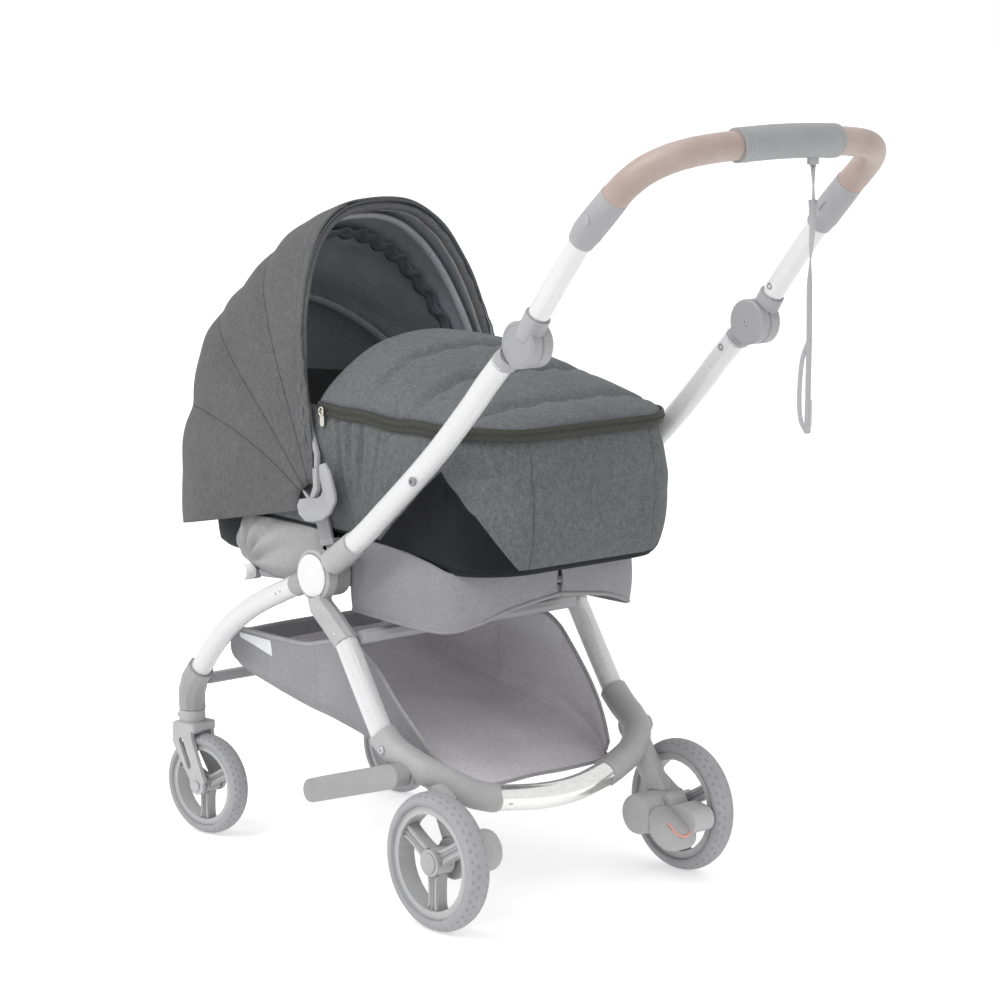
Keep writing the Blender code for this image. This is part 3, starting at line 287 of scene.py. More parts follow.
def dimpled(name, centre, turn, half, radius):
    """Foam tyre with two staggered lines of dimples on each shoulder, laid out round the wheel's own centre; the
    dimples are bumped in and also painted darker, as painted shade in their hollows.
    """
    s = Shade(name, rough=0.82)
    x = s.math("SUBTRACT", s.xyz[0], centre.x)
    y = s.math("SUBTRACT", s.xyz[1], centre.y)
    z = s.math("SUBTRACT", s.xyz[2], centre.z)
    c_, n_ = math.cos(turn), math.sin(turn)
    wide = s.math("ABSOLUTE", s.math("ADD", s.math("MULTIPLY", x, c_), s.math("MULTIPLY", y, n_)))
    fore = s.math("SUBTRACT", s.math("MULTIPLY", y, c_), s.math("MULTIPLY", x, n_))
    angle = s.math("MULTIPLY", s.math("ARCTAN2", z, fore), 40)
    first = s.span(s.math("COSINE", angle), 0.15, 0.55)
    second = s.span(s.math("COSINE", s.math("ADD", angle, math.pi)), 0.15, 0.55)
    lane = s.span(s.math("ABSOLUTE", s.math("SUBTRACT", wide, half * 0.40)), 0.0010, 0.0020, 1.0, 0.0)
    lane2 = s.span(s.math("ABSOLUTE", s.math("SUBTRACT", wide, half * 0.78)), 0.0008, 0.0017, 1.0, 0.0)
    reach = s.math("SQRT", s.math("ADD", s.math("MULTIPLY", fore, fore), s.math("MULTIPLY", z, z)))
    tread = s.span(reach, radius * 0.90, radius * 0.92)
    dimple_hollows_and_shade = s.math("MULTIPLY", s.math("MAXIMUM", s.math("MULTIPLY", first, lane), s.math("MULTIPLY", second, lane2)), tread)
    base = s.scaled(lin(149, 149, 151), s.math("MULTIPLY", s.span(s.noise(24, 4.0, 0.6), 0.3, 0.7, 0.95, 1.05), s.span(s.noise(500, 2.0, 0.5), 0.3, 0.7, 0.96, 1.04)))
    # painted shade: the dimples are coloured darker, as if shaded in their hollows
    base = s.mix(s.math("MULTIPLY", dimple_hollows_and_shade, 0.6), base, lin(118, 118, 121))
    s.bump(s.noise(700, 2.0, 0.6), 0.14, 0.0006)
    s.bump(dimple_hollows_and_shade, -0.9, 0.002)
    return s.done(base, s.span(s.noise(90, 3.0, 0.6), 0.3, 0.7, 0.74, 0.90))


def leather_like(name, colour, brown):
    s = Shade(name, rough=0.44, Coat_Weight=0.06, Coat_Roughness=0.35)
    base = s.mix(s.span(s.noise(9, 3.0, 0.5), 0.38, 0.66, 0.0, 0.75), colour, brown)
    pores = s.cells(820)
    base = s.scaled(base, s.math("MULTIPLY", s.span(pores, 0.1, 0.7, 1.03, 0.95), s.span(s.noise(90, 4.0, 0.6), 0.3, 0.7, 0.96, 1.04)))
    s.bump(pores, 0.22, 0.0007)
    s.bump(s.noise(45, 4.0, 0.6), 0.10, 0.003)
    return s.done(base, s.span(s.noise(150, 3.0, 0.6), 0.3, 0.7, 0.36, 0.54))


HUB = (0.0709, 0.4176)
WHITE_ENDS = lambda s: s.span(s.math("ABSOLUTE", s.xyz[0]), 0.1585, 0.1592, 0.0, 1.0)
GREY = plastic("grey_moulding", lin(158, 158, 160))
GREY_HUB = plastic("hub_moulding", lin(173, 172, 173))
GREY_FRONT = plastic("front_moulding", lin(153, 153, 154))
GREY_FORK = plastic("fork_moulding", lin(176, 176, 177))
GREY_ELBOW = plastic("elbow_moulding", lin(153, 153, 155), rough=0.46)
GREY_SLEEVE = plastic("sleeve_moulding", lin(160, 160, 162), rough=0.5)
GREY_RIM = plastic("rim_moulding", lin(172, 172, 173), rough=0.42)
GREY_LEVER = plastic("lever_moulding", lin(149, 148, 149), rough=0.5)
GREY_DARK = plastic("dark_moulding", lin(132, 131, 134))
WHITE = plastic("hub_disc_white", lin(224, 224, 224), rough=0.34, grain=0.04, coat=0.15)
TYRE = rubber("foam_tyre", lin(160, 160, 162))
TUBE = tube_metal("satin_tube")
CHROME = metal("bright_crossbar", lin(228, 228, 226), rough=0.16, metallic=0.85, streak=(0.15, 1, 1))
STEEL = metal("screw_steel", lin(176, 176, 178), rough=0.34, metallic=0.8)
ZIP_METAL = metal("zip_metal", lin(200, 198, 190), rough=0.25)
LEATHER = leather_like("leather", lin(170, 155, 149), lin(150, 131, 122))
GRIP = plastic("soft_grip", lin(155, 156, 158), rough=0.62, grain=0.22)

PUSH_MASK = tube_metal("push_tube_metal", masks=lambda s: s.near_point(HUB, 0.0965))
FRONT_MASK = tube_metal("front_tube_metal", masks=lambda s: s.near_point(HUB, 0.0625), ridge_x=0.1985)
REAR_TUBE = tube_metal("rear_tube_metal", ridge_x=0.2120)


def seat_tube():
    s = Shade("seat_tube", rough=0.5)
    base = s.scaled(lin(150, 149, 152), s.span(s.noise(60, 3.0, 0.6), 0.3, 0.7, 0.95, 1.05))
    base = s.mix(WHITE_ENDS(s), base, lin(243, 243, 243))
    s.bump(s.noise(900, 2.0, 0.5), 0.08, 0.0005)
    return s.done(base, s.span(s.noise(90, 3.0, 0.5), 0.3, 0.7, 0.42, 0.56))


SEAT_TUBE = seat_tube()


def coat_with(mat, *names):
    """Every slot of these CAD nodes takes the material."""
    for name in names:
        obj = nodes[name]
        if not obj.material_slots:
            obj.data.materials.append(mat)
        for slot_ in obj.material_slots:
            slot_.link = "OBJECT"
            slot_.material = mat


def pair(name):
    return [f"{name}_left", f"{name}_right"]


coat_with(REAR_TUBE, *pair("rear_leg"))
coat_with(TUBE, *pair("handle_tube"))
coat_with(PUSH_MASK, *pair("push_tube"))
coat_with(FRONT_MASK, *pair("front_leg"))
coat_with(SEAT_TUBE, "seat_frame")
coat_with(CHROME, "rear_crossbar")
coat_with(GREY_HUB, *pair("hub_housing"), *pair("corner_moulding"), *pair("brake_housing"), "brake_pedal")
coat_with(GREY, *pair("hood_bracket"), "hood_rim_bow", "cross_tube")
coat_with(GREY_DARK, "front_crossbar")
coat_with(WHITE, *pair("hub_cover"))
coat_with(GREY_ELBOW, *pair("elbow_lower"), *pair("elbow_upper"))
coat_with(GREY_SLEEVE, *pair("handle_sleeve"), *pair("release_button"))
coat_with(GREY_FRONT, *pair("caster_housing"))
coat_with(GREY_FORK, *pair("caster_fork"))
coat_with(GREY_RIM, *pair("front_rim"), *pair("rear_rim"))
coat_with(GREY_LEVER, "stand_lever")
coat_with(TYRE, *pair("front_tyre"), *pair("rear_tyre"))
coat_with(STEEL, *pair("front_axle"), "hood_mid_bow")
coat_with(ZIP_METAL, "zip_puller")
coat_with(LEATHER, *pair("leather_grip"))
coat_with(GRIP, "centre_grip")


# ------------------------------------------------------------------ mesh helpers
def new_object(name, verts, faces, mat, smooth=True):
    mesh = bpy.data.meshes.new(name)
    mesh.from_pydata([tuple(v) for v in verts], [], faces)
    mesh.validate()
    mesh.update()
    obj = bpy.data.objects.new(name, mesh)
    scene.collection.objects.link(obj)
    for m in mat if isinstance(mat, (list, tuple)) else [mat]:
        mesh.materials.append(m)
    if smooth:
        mesh.polygons.foreach_set("use_smooth", [True] * len(mesh.polygons))
    return obj


def grid(name, nu, nv, at_uv, mat, cyclic=False):
    """A sheet of (nu+1) x (nv+1) points, or a ring when cyclic in u."""
    columns = nu if cyclic else nu + 1
    verts = [at_uv(i / nu, j / nv) for j in range(nv + 1) for i in range(columns)]
    faces = []
    for j in range(nv):
        for i in range(nu):
            a, b = j * columns + i, j * columns + (i + 1) % columns
            faces.append((a, b, b + columns, a + columns))
    return new_object(name, verts, faces, mat)


def finish_mesh(obj, *modifiers):
    """Applies modifiers given as (type, settings)."""
    for kind, settings in modifiers:
        m = obj.modifiers.new(kind, kind)
        for key, value in settings.items():
            setattr(m, key, value)
    bpy.context.view_layer.update()
    graph = bpy.context.evaluated_depsgraph_get()
    mesh = bpy.data.meshes.new_from_object(obj.evaluated_get(graph))
    obj.modifiers.clear()
    obj.data = mesh
    mesh.polygons.foreach_set("use_smooth", [True] * len(mesh.polygons))
    return obj


def outward(obj):
    bm = bmesh.new()
    bm.from_mesh(obj.data)
    bmesh.ops.recalc_face_normals(bm, faces=bm.faces)
    if bm.calc_volume(signed=True) < 0:
        bmesh.ops.reverse_faces(bm, faces=bm.faces)
    bm.to_mesh(obj.data)
    bm.free()
    return obj


def along(points, count):
    """Catmull-Rom through points, evenly spaced."""
    pts = [Vector(p) for p in points]
    ext = [2 * pts[0] - pts[1], *pts, 2 * pts[-1] - pts[-2]]
    fine = []
    for i in range(1, len(ext) - 2):
        p0, p1, p2, p3 = ext[i - 1 : i + 3]
        for k in range(12):
            t = k / 12
            fine.append(0.5 * (2 * p1 + (p2 - p0) * t + (2 * p0 - 5 * p1 + 4 * p2 - p3) * t * t + (3 * p1 - p0 - 3 * p2 + p3) * t**3))
    fine.append(pts[-1])
    lengths = [0.0]
    for a, b in zip(fine, fine[1:]):
        lengths.append(lengths[-1] + (b - a).length)
    out, k = [], 0
    for i in range(count + 1):
        goal = lengths[-1] * i / count
        while k < len(fine) - 2 and lengths[k + 1] < goal:
            k += 1
        step = lengths[k + 1] - lengths[k]
        out.append(fine[k].lerp(fine[k + 1], (goal - lengths[k]) / step if step > 1e-9 else 0))
    return out


def sweep(name, path, section, mat, cyclic=False, up=Vector((0, 0, 1)), roll=None, scale=None):
    """A closed section (list of (a, b)) carried along a path, with its ends capped."""
    n, m = len(path), len(section)
    verts, frame_up = [], None
    for i, p in enumerate(path):
        if cyclic:
            d = (path[(i + 1) % n] - path[i - 1]).normalized()
        else:
            d = (path[min(i + 1, n - 1)] - path[max(i - 1, 0)]).normalized()
        ref = frame_up if frame_up is not None else up
        side = d.cross(ref)
        if side.length < 1e-6:
            side = d.orthogonal()
        side.normalize()
        vert_up = side.cross(d).normalized()
        frame_up = vert_up if up is None else None
        angle = roll(i / (n - 1)) if roll else 0.0
        grow = scale(i / (n - 1)) if scale else 1.0
        c, s = math.cos(angle), math.sin(angle)
        for a, b in section:
            a, b = a * grow, b * grow
            verts.append(p + side * (a * c - b * s) + vert_up * (a * s + b * c))
    faces = []
    for i in range(n if cyclic else n - 1):
        for k in range(m):
            j = (i + 1) % n
            faces.append((i * m + k, i * m + (k + 1) % m, j * m + (k + 1) % m, j * m + k))
    if not cyclic:
        faces.append(tuple(range(m)))
        faces.append(tuple((n - 1) * m + k for k in reversed(range(m))))
    return outward(new_object(name, verts, faces, mat))


def ring(radius, count=16, flat=1.0):
    return [(radius * math.cos(2 * math.pi * k / count), radius * flat * math.sin(2 * math.pi * k / count)) for k in range(count)]


def lathe(name, profile, origin, axis, mat, steps=64):
    """A closed profile of (along the axis, radius), turned about the axis through origin."""
    axis = Vector(axis).normalized()
    u = axis.orthogonal().normalized()
    v = axis.cross(u)
    verts, m = [], len(profile)
    for i in range(steps):
        a = 2 * math.pi * i / steps
        d = u * math.cos(a) + v * math.sin(a)
        verts += [Vector(origin) + axis * x + d * r for x, r in profile]
    faces = []
    for i in range(steps):
        j = (i + 1) % steps
        for k in range(m):
            faces.append((i * m + k, i * m + (k + 1) % m, j * m + (k + 1) % m, j * m + k))
    obj = new_object(name, verts, faces, mat)
    bm = bmesh.new()
    bm.from_mesh(obj.data)
    bmesh.ops.remove_doubles(bm, verts=bm.verts, dist=1e-6)
    bmesh.ops.dissolve_degenerate(bm, dist=1e-7, edges=bm.edges)
    bm.to_mesh(obj.data)
    bm.free()
    return outward(obj)


def crisp(obj, degrees=35):
    """Flat where faces meet at a hard angle."""
    limit = math.radians(degrees)
    bm = bmesh.new()
    bm.from_mesh(obj.data)
    for e in bm.edges:
        e.smooth = not (len(e.link_faces) == 2 and e.calc_face_angle(0.0) > limit)
    bm.to_mesh(obj.data)
    bm.free()
    return obj


def screw(name, where, axis, radius, body, mat=STEEL, height=0.0016, recess=True):
    """A cross-head screw with a domed rim and a real recess."""
    n = Vector(axis).normalized()
    prof = [(-0.002, 0.0), (-0.002, radius), (height * 0.5, radius), (height, radius * 0.82)]
    prof += [(height * 0.9, radius * 0.45), (height * 0.2, radius * 0.38), (height * 0.2, 0.0)] if recess else [(height * 1.25, radius * 0.4), (height * 1.3, 0.0)]
    obj = crisp(lathe(name, prof, where, n, mat, 20))
    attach(obj, body)
    return obj


def soft_noise(p, scale, seed=0.0):
    return noise.noise(Vector((p[0] * scale + seed, p[1] * scale - seed, p[2] * scale + 2 * seed)))


def bell(x, width):
    return math.exp(-((x / width) ** 2))


# ------------------------------------------------------------------ camera and light
camera_data = bpy.data.cameras.new("camera")
camera_data.sensor_width = 36.0
camera_data.lens = 3174.1 * 36.0 / 1000.0
camera_data.shift_x = (500.0 - 499.57) / 1000.0
camera_data.shift_y = (500.08 - 500.0) / 1000.0
camera_data.clip_end = 50.0
camera = bpy.data.objects.new("camera", camera_data)
scene.collection.objects.link(camera)
a, e = math.radians(138.97), math.radians(9.76)
back = Vector((math.sin(a) * math.cos(e), -math.cos(a) * math.cos(e), math.sin(e)))
right = (-back).cross(Vector((0, 0, 1))).normalized()
up = right.cross(-back).normalized()
c, s_ = math.cos(0.0051), math.sin(0.0051)
cam_x, cam_y = right * c + up * s_, up * c - right * s_
camera.matrix_world = Matrix(((cam_x.x, cam_y.x, back.x, 2.7123), (cam_x.y, cam_y.y, back.y, 3.15685), (cam_x.z, cam_y.z, back.z, 1.2245), (0, 0, 0, 1)))
scene.camera = camera

scene.view_settings.view_transform = "Standard"
world = bpy.data.worlds.new("studio")
scene.world = world
world.use_nodes = True
world.node_tree.nodes["Background"].inputs[0].default_value = (1.0, 1.0, 1.0, 1)
world.node_tree.nodes["Background"].inputs[1].default_value = 1.0


def area_light(name, where, target, size, power):
    data = bpy.data.lights.new(name, "AREA")
    data.size = size
    data.energy = power
    obj = bpy.data.objects.new(name, data)
    scene.collection.objects.link(obj)
    obj.location = where
    obj.rotation_euler = (Vector(target) - Vector(where)).to_track_quat("-Z", "Y").to_euler()
    return obj


area_light("key", (1.9, -0.2, 2.8), (0, 0, 0.4), 1.8, 48)
floor_mat = Shade("pale_floor", rough=0.9)
floor_mat.bsdf.inputs["Emission Color"].default_value = (1.0, 1.0, 1.0, 1)
floor_mat.bsdf.inputs["Emission Strength"].default_value = 0.42
floor_mat.done(floor_mat.scaled((0.80, 0.80, 0.80, 1), floor_mat.span(floor_mat.noise(3, 2.0, 0.5), 0.3, 0.7, 0.995, 1.005)))
bpy.ops.mesh.primitive_plane_add(size=60, location=(0, 0, 0))
floor = bpy.context.object
floor.name = "studio_floor"
floor.data.materials.append(floor_mat.mat)

# ------------------------------------------------------------------ wrist strap (the one free cord)
STRAP = plastic("strap_webbing_edge", lin(178, 178, 180), rough=0.7, grain=0.3)


def webbing():
    s = Shade("strap_webbing", rough=0.85)
    rib = s.wave(260, kind="Z", distortion=0.2)
    cross = s.wave(420, kind="DIAGONAL", distortion=0.2)
    base = s.scaled(lin(172, 172, 174), s.math("MULTIPLY", s.span(rib, 0, 1, 0.86, 1.10), s.span(cross, 0, 1, 0.93, 1.05)))
    s.bump(rib, 0.5, 0.0006)
    s.bump(cross, 0.3, 0.0004)
    return s.done(base, s.span(rib, 0, 1, 0.78, 0.92))


WEBBING = webbing()
STRAP_TOP = (-0.042, 0.7200, 0.9806)
STRAP_LOW = 0.659
spine = []
for i in range(41):
    k = i / 40 * 14
    spine.append(at(STRAP_TOP[0] - 0.001 * math.sin(k * 0.9), STRAP_TOP[1] + 0.0012 * math.sin(k * 0.6), STRAP_TOP[2] - (STRAP_TOP[2] - STRAP_LOW) * i / 40))
look = Vector((0.656, 0.754, 0))  # the band lies broad side on to this at its lower end


def strap_roll(t):
    return math.radians(20 + 150 * max(0.0, 0.45 - t) / 0.45 * 2)


band = [(-0.0035, -0.0006), (-0.0031, -0.0009), (0.0031, -0.0009), (0.0035, -0.0006), (0.0035, 0.0006), (0.0031, 0.0009), (-0.0031, 0.0009), (-0.0035, 0.0006)]
strap = sweep("wrist_strap_band", spine, band, WEBBING, up=look, roll=strap_roll)
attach(strap, "upper_handle")
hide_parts("wrist_strap")
tab = sweep("strap_tab", [at(-0.0428, 0.7203, 0.9390), at(-0.0428, 0.7203, 0.9290), at(-0.0428, 0.7203, 0.9130), at(-0.0428, 0.7203, 0.9050)],
            [(-0.0052, -0.0017), (0.0052, -0.0017), (0.0052, 0.0017), (-0.0052, 0.0017)], WEBBING, up=look, scale=lambda t: 1.0 - 0.42 * t)
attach(tab, "upper_handle")
slider = sweep("strap_slider", [at(-0.0432, 0.7200, 0.6990), at(-0.0432, 0.7200, 0.6960), at(-0.0432, 0.7200, 0.6700), at(-0.0432, 0.7200, 0.6670)],
               [(-0.0042, -0.0022), (0.0042, -0.0022), (0.0042, 0.0022), (-0.0042, 0.0022)], STEEL, up=look)
slider = crisp(slider)
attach(slider, "upper_handle")
loop_pts = [spine[26] + Vector((0, 0, 0)), spine[29] + Vector((0.0058, -0.0052, 0)), spine[34] + Vector((0.0078, -0.0068, 0)), spine[38] + Vector((0.0066, -0.0058, 0.0015)), spine[40] + Vector((0.0012, -0.001, 0.0012))]
loop = sweep("strap_loop", along(loop_pts, 30), [(a_ * 0.8, b * 0.8) for a_, b in band], WEBBING, up=look)
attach(loop, "upper_handle")

# ------------------------------------------------------------------ pack outline shared by the soft pieces
HEAD_POWER = 2.2


def plan(half, head, foot_y, corner, count=240):
    """The pack's outline from above, evenly spaced, counter-clockwise from the near side of the head end."""
    pts = []
    for i in range(121):
        t = math.pi * i / 120
        c_, sn = math.cos(t), math.sin(t)
        pts.append(Vector((half * math.copysign(abs(c_) ** (2 / HEAD_POWER), c_), 0.037 - head * abs(sn) ** (2 / HEAD_POWER))))
    for cx, first, last in ((-half + corner, 180, 90), (half - corner, 90, 0)):
        for i in range(13):
            ang = math.radians(first + (last - first) * i / 12)
            pts.append(Vector((cx + corner * math.cos(ang), foot_y - corner + corner * math.sin(ang))))
    pts.append(pts[0].copy())
    lengths = [0.0]
    for p, q in zip(pts, pts[1:]):
        lengths.append(lengths[-1] + (q - p).length)
    out, k = [], 0
    for i in range(count):
        goal = lengths[-1] * i / count
        while lengths[k + 1] < goal:
            k += 1
        step = lengths[k + 1] - lengths[k]
        out.append(pts[k].lerp(pts[k + 1], (goal - lengths[k]) / step if step > 1e-12 else 0))
    return out


def ring_normals(points):
    n = len(points)
    out = []
    for i in range(n):
        d = points[(i + 1) % n] - points[i - 1]
        q = Vector((-d.y, d.x))
        q.normalize()
        if q.dot(points[i] - Vector((0, 0.02))) < 0:
            q = -q
        out.append(q)
    return out


def pack_floor(y):
    return 0.417 + 0.083 * y


# cocoon side wall: puffed, gathered near the hood, black gussets low at the sides
def gusset(s, base):
    y, z = s.math("ADD", s.xyz[1], MID_Y), s.xyz[2]
    round_ = s.math("MULTIPLY", s.math("SUBTRACT", 0.163, s.math("ABSOLUTE", s.xyz[0])), 1.149)
    far_y = s.math("ADD", y, s.math("MAXIMUM", round_, 0.0))
    rise = s.math("SUBTRACT", s.math("ADD", s.math("MULTIPLY", s.math("SUBTRACT", y, 0.157), 0.824), 0.472), z)
    fall = s.math("SUBTRACT", s.math("ADD", s.math("MULTIPLY", s.math("SUBTRACT", far_y, 0.288), -0.845), 0.580), z)
    on_side = s.span(y, 0.10, 0.11)
    inside = s.math("MULTIPLY", s.span(s.math("MINIMUM", rise, fall), -0.0008, 0.0008), on_side)
    hem = s.span(s.math("SUBTRACT", z, s.span(y, 0.10, 0.34, 0.4700, 0.4550, smooth=True)), 0.0035, 0.0045, 1.0, 0.0)
    black = s.math("MAXIMUM", inside, hem)
    edge = s.line(s.math("MINIMUM", rise, fall), 0.0, 0.0030)
    seam = s.math("MULTIPLY", s.line(s.math("ABSOLUTE", s.xyz[0]), 0.104, 0.0022), s.span(y, 0.33, 0.34))
    s.bump(s.math("MAXIMUM", seam, s.math("MULTIPLY", edge, 0.6)), -0.8, 0.002)
    dark = s.scaled(lin(16, 17, 20), s.span(s.noise(500, 2.0, 0.5), 0.3, 0.7, 0.85, 1.15))
    base = s.mix(s.math("MULTIPLY", seam, 0.45), base, lin(48, 49, 52))
    return s.mix(black, base, dark)


COCOON = melange("cocoon_twill", lin(92, 93, 94), extra=gusset)
RING = 640
outer = plan(0.163, 0.380, 0.385, 0.075, RING)
inner_ring = plan(0.1505, 0.3675, 0.3725, 0.0625, RING)
normals = ring_normals(outer)
LEVELS = 30


def wall_point(i, j):
    p, n = outer[i % RING], normals[i % RING]
    h = j / LEVELS
    y = p.y
    foot_ward = min(1.0, max(0.0, (y - 0.10) / 0.24))
    foot_ward = foot_ward * foot_ward * (3 - 2 * foot_ward)
    low = 0.4695 - 0.0150 * foot_ward
    z = low + (0.6295 - low) * h
    bulge = (0.0062 + 0.0075 * foot_ward) * math.sin(math.pi * h**0.85) ** 0.7 - 0.0015 - 0.0050 * foot_ward * h**3 - 0.0040 * foot_ward * (1 - h) ** 4
    side = 1.0 if abs(p.x) > 0.12 else 0.0
    pleats = 0.0
    for k, (where, depth) in enumerate(((0.070, 0.0085), (0.094, 0.0075), (0.121, 0.0085), (0.158, 0.0060))):
        slope = (1 - h) ** 1.5 * (0.040 - k * 0.021)
        fade = (0.30 + 0.70 * h) * (1 - 0.25 * k * (1 - h))
        pleats -= depth * bell(y - where - slope, 0.0042) * fade * side
        pleats += depth * 0.50 * bell(y - where - slope - 0.012, 0.0075) * fade * side
    foot = 1.0 if y > 0.30 else 0.0
    crease = -0.0030 * bell(z - 0.556 - 0.02 * math.sin(p.x * 20), 0.010) * (1.0 if y > 0.30 and p.x > 0.07 else 0.0)
    seam = -0.0022 * bell(abs(p.x) - 0.104, 0.005) * foot
    rough = 0.0030 * soft_noise((p.x, y, z), 14, 3.1) + 0.0016 * soft_noise((p.x, y, z), 38, 7.7)
    d = bulge + (pleats + crease + seam + rough) * math.sin(math.pi * (0.08 + 0.84 * h))
    q = p + n * d
    return Vector((q.x, q.y - MID_Y, z))


rows = [[Vector((p.x - n.x * 0.014, p.y - n.y * 0.014 - MID_Y, 0.4700)) for p, n in zip(outer, normals)]]
rows.append([Vector((p.x - n.x * 0.0085, p.y - n.y * 0.0085 - MID_Y, wall_point(i, 0).z + 0.002)) for i, (p, n) in enumerate(zip(outer, normals))])
for j in range(LEVELS + 1):
    rows.append([wall_point(i, j) for i in range(RING)])
for t in (1.0, 0.9, 0.5, 0.0):
    z = 0.4785 + (0.6285 - 0.4785) * t
    rows.append([Vector((p.x, p.y - MID_Y, z + (0.004 * (1 if t == 1.0 else 0)))) for p in inner_ring])
verts = [v for row in rows for v in row]
faces = []
for j in range(len(rows)):
    jj = (j + 1) % len(rows)
    if jj == 0:
        continue
    for i in range(RING):
        faces.append((j * RING + i, j * RING + (i + 1) % RING, jj * RING + (i + 1) % RING, jj * RING + i))
last = (len(rows) - 1) * RING
faces.append(tuple(last + i for i in range(RING)))
faces.append(tuple(reversed(range(RING))))
cocoon = outward(new_object("cocoon_side", verts, faces, COCOON))
crisp(cocoon, 60)
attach(cocoon, "rear_frame")
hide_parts("cocoon_body")


# cocoon top: the puffed, quilted cover
def quilt(s, base):
    return base


TOP = melange("cover_twill", lin(95, 96, 100), contrast=0.24)
CH = (0.31, 0.58, 0.84)


def cover_point(u, v, lower=False):
    u = u * 2 - 1
    y0, y1, corner = 0.030, 0.385, 0.075
    y = y0 + (y1 - y0) * v
    half = 0.165
    if y > y1 - corner:
        d = (y - (y1 - corner)) / corner
        half = half - corner + corner * math.sqrt(max(0.0, 1 - d * d))
    power = 2.3 + 0.9 * min(1.0, v / 0.5)
    crown = max(0.0, 1 - abs(u) ** power) ** (0.80 - 0.18 * min(1.0, v / 0.5))
    end = max(0.0, 1 - max(0.0, (v - 0.55) / 0.45) ** 2.6) ** 0.6
    fall = min(1.0, max(0.0, (v - 0.15) / 0.75))
    lift = (0.085 - 0.052 * fall * fall * (3 - 2 * fall)) * crown * end
    z = 0.6345 + lift
    if not lower:
        bend = 0.10 * (1 - u * u) - 0.02
        channels = sum(bell(v - c_ - 0.10 * (0.5 - u * u) * (1 - c_), 0.020) for c_ in CH)
        puff = 0.0070 * crown**0.5 * end * (1 - channels * 1.9)
        ripple = 0.0022 * math.sin(u * 21 + 3 * v) * sum(bell(v - c_ - 0.10 * (0.5 - u * u) * (1 - c_), 0.06) for c_ in CH)
        z += (puff + ripple * crown * end) + 0.0035 * crown * end * soft_noise((half * u, y, 0.3), 15, 1.3)
        if v < 0.08:
            z -= 0.016 * (1 - v / 0.08) ** 2 * crown
    else:
        z -= 0.010 * crown * end + 0.001
        half -= 0.004
    return at(half * u, y, z)


NU, NV = 84, 70
verts = [cover_point(i / NU, j / NV) for j in range(NV + 1) for i in range(NU + 1)]
count = len(verts)
verts += [cover_point(i / NU, j / NV, True) for j in range(NV + 1) for i in range(NU + 1)]
faces = []
W = NU + 1
for j in range(NV):
    for i in range(NU):
        k = j * W + i
        faces.append((k, k + 1, k + W + 1, k + W))
        faces.append((count + k, count + k + W, count + k + W + 1, count + k + 1))
rim_loop = [i for i in range(W)] + [j * W + NU for j in range(1, NV + 1)] + [NV * W + i for i in range(NU - 1, -1, -1)] + [j * W for j in range(NV - 1, 0, -1)]
for p, q in zip(rim_loop, rim_loop[1:] + rim_loop[:1]):
    faces.append((q, p, count + p, count + q))
cover = outward(new_object("cocoon_top", verts, faces, TOP))


def puff_up(obj, keep, pressure=4.0, cap=0.010, frames=20):
    """Swells a closed piece with Cloth pressure, holding the points that keep() accepts, and applies the result."""
    rest = [v.co.copy() for v in obj.data.vertices]
    group = obj.vertex_groups.new(name="held")
    group.add([i for i, p in enumerate(rest) if keep(p)], 1.0, "REPLACE")
    mod = obj.modifiers.new("puff", "CLOTH")
    st = mod.settings
    st.quality = 6
    st.mass = 0.25
    st.tension_stiffness = st.compression_stiffness = 18
    st.shear_stiffness = 8
    st.bending_stiffness = 0.6
    st.use_pressure = True
    st.uniform_pressure_force = pressure
    st.vertex_group_mass = "held"
    st.effector_weights.gravity = 0.0
    mod.point_cache.frame_start, mod.point_cache.frame_end = 1, frames
    for f in range(1, frames + 1):
        scene.frame_set(f)
    graph = bpy.context.evaluated_depsgraph_get()
    moved = [v.co.copy() for v in obj.evaluated_get(graph).to_mesh().vertices]
    obj.modifiers.clear()
    for v, p, q in zip(obj.data.vertices, rest, moved):
        d = q - p
        v.co = p + (d.normalized() * cap if d.length > cap else d)
    obj.vertex_groups.clear()
    obj.data.update()
    scene.frame_set(1)
    return obj


def cover_held(p):
    y = p.y + MID_Y
    v = (y - 0.030) / 0.355
    half = 0.165
    if y > 0.310:
        d = (y - 0.310) / 0.075
        half = 0.090 + 0.075 * math.sqrt(max(0.0, 1 - d * d))
    u = p.x / max(half, 1e-6)
    edge = abs(u) > 0.955 or v > 0.985 or v < 0.012
    return edge or any(abs(v - c_ - 0.10 * (0.5 - u * u) * (1 - c_)) < 0.009 for c_ in CH)


moved_by = [v.co.copy() for v in cover.data.vertices]
puff_up(cover, cover_held, 30.0, 0.007, 16)
moved_by = sorted((v.co - q).length for v, q in zip(cover.data.vertices, moved_by))
print("CLOTH moved mm: median %.2f, 90%% %.2f, most %.2f" % tuple(1000 * moved_by[int(k * (len(moved_by) - 1))] for k in (0.5, 0.9, 1.0)))
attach(cover, "rear_frame")
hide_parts("cocoon_cover")


# zip band round the top edge, from the near hood side round the foot to the far one
def zip_shade():
    s = Shade("zip_tape", rough=0.7)
    rib = s.wave(330, kind="Z", distortion=0.3)
    base = s.scaled(lin(49, 49, 43), s.math("MULTIPLY", s.span(rib, 0, 1, 0.84, 1.10), s.span(s.noise(300, 2.0, 0.5), 0.3, 0.7, 0.9, 1.1)))
    base = s.mix(s.math("MULTIPLY", s.line(s.xyz[2], 0.6335, 0.0014), 0.6), base, lin(34, 35, 31))
    s.bump(rib, 0.35, 0.0006)
    return s.done(base, s.span(rib, 0, 1, 0.62, 0.8))


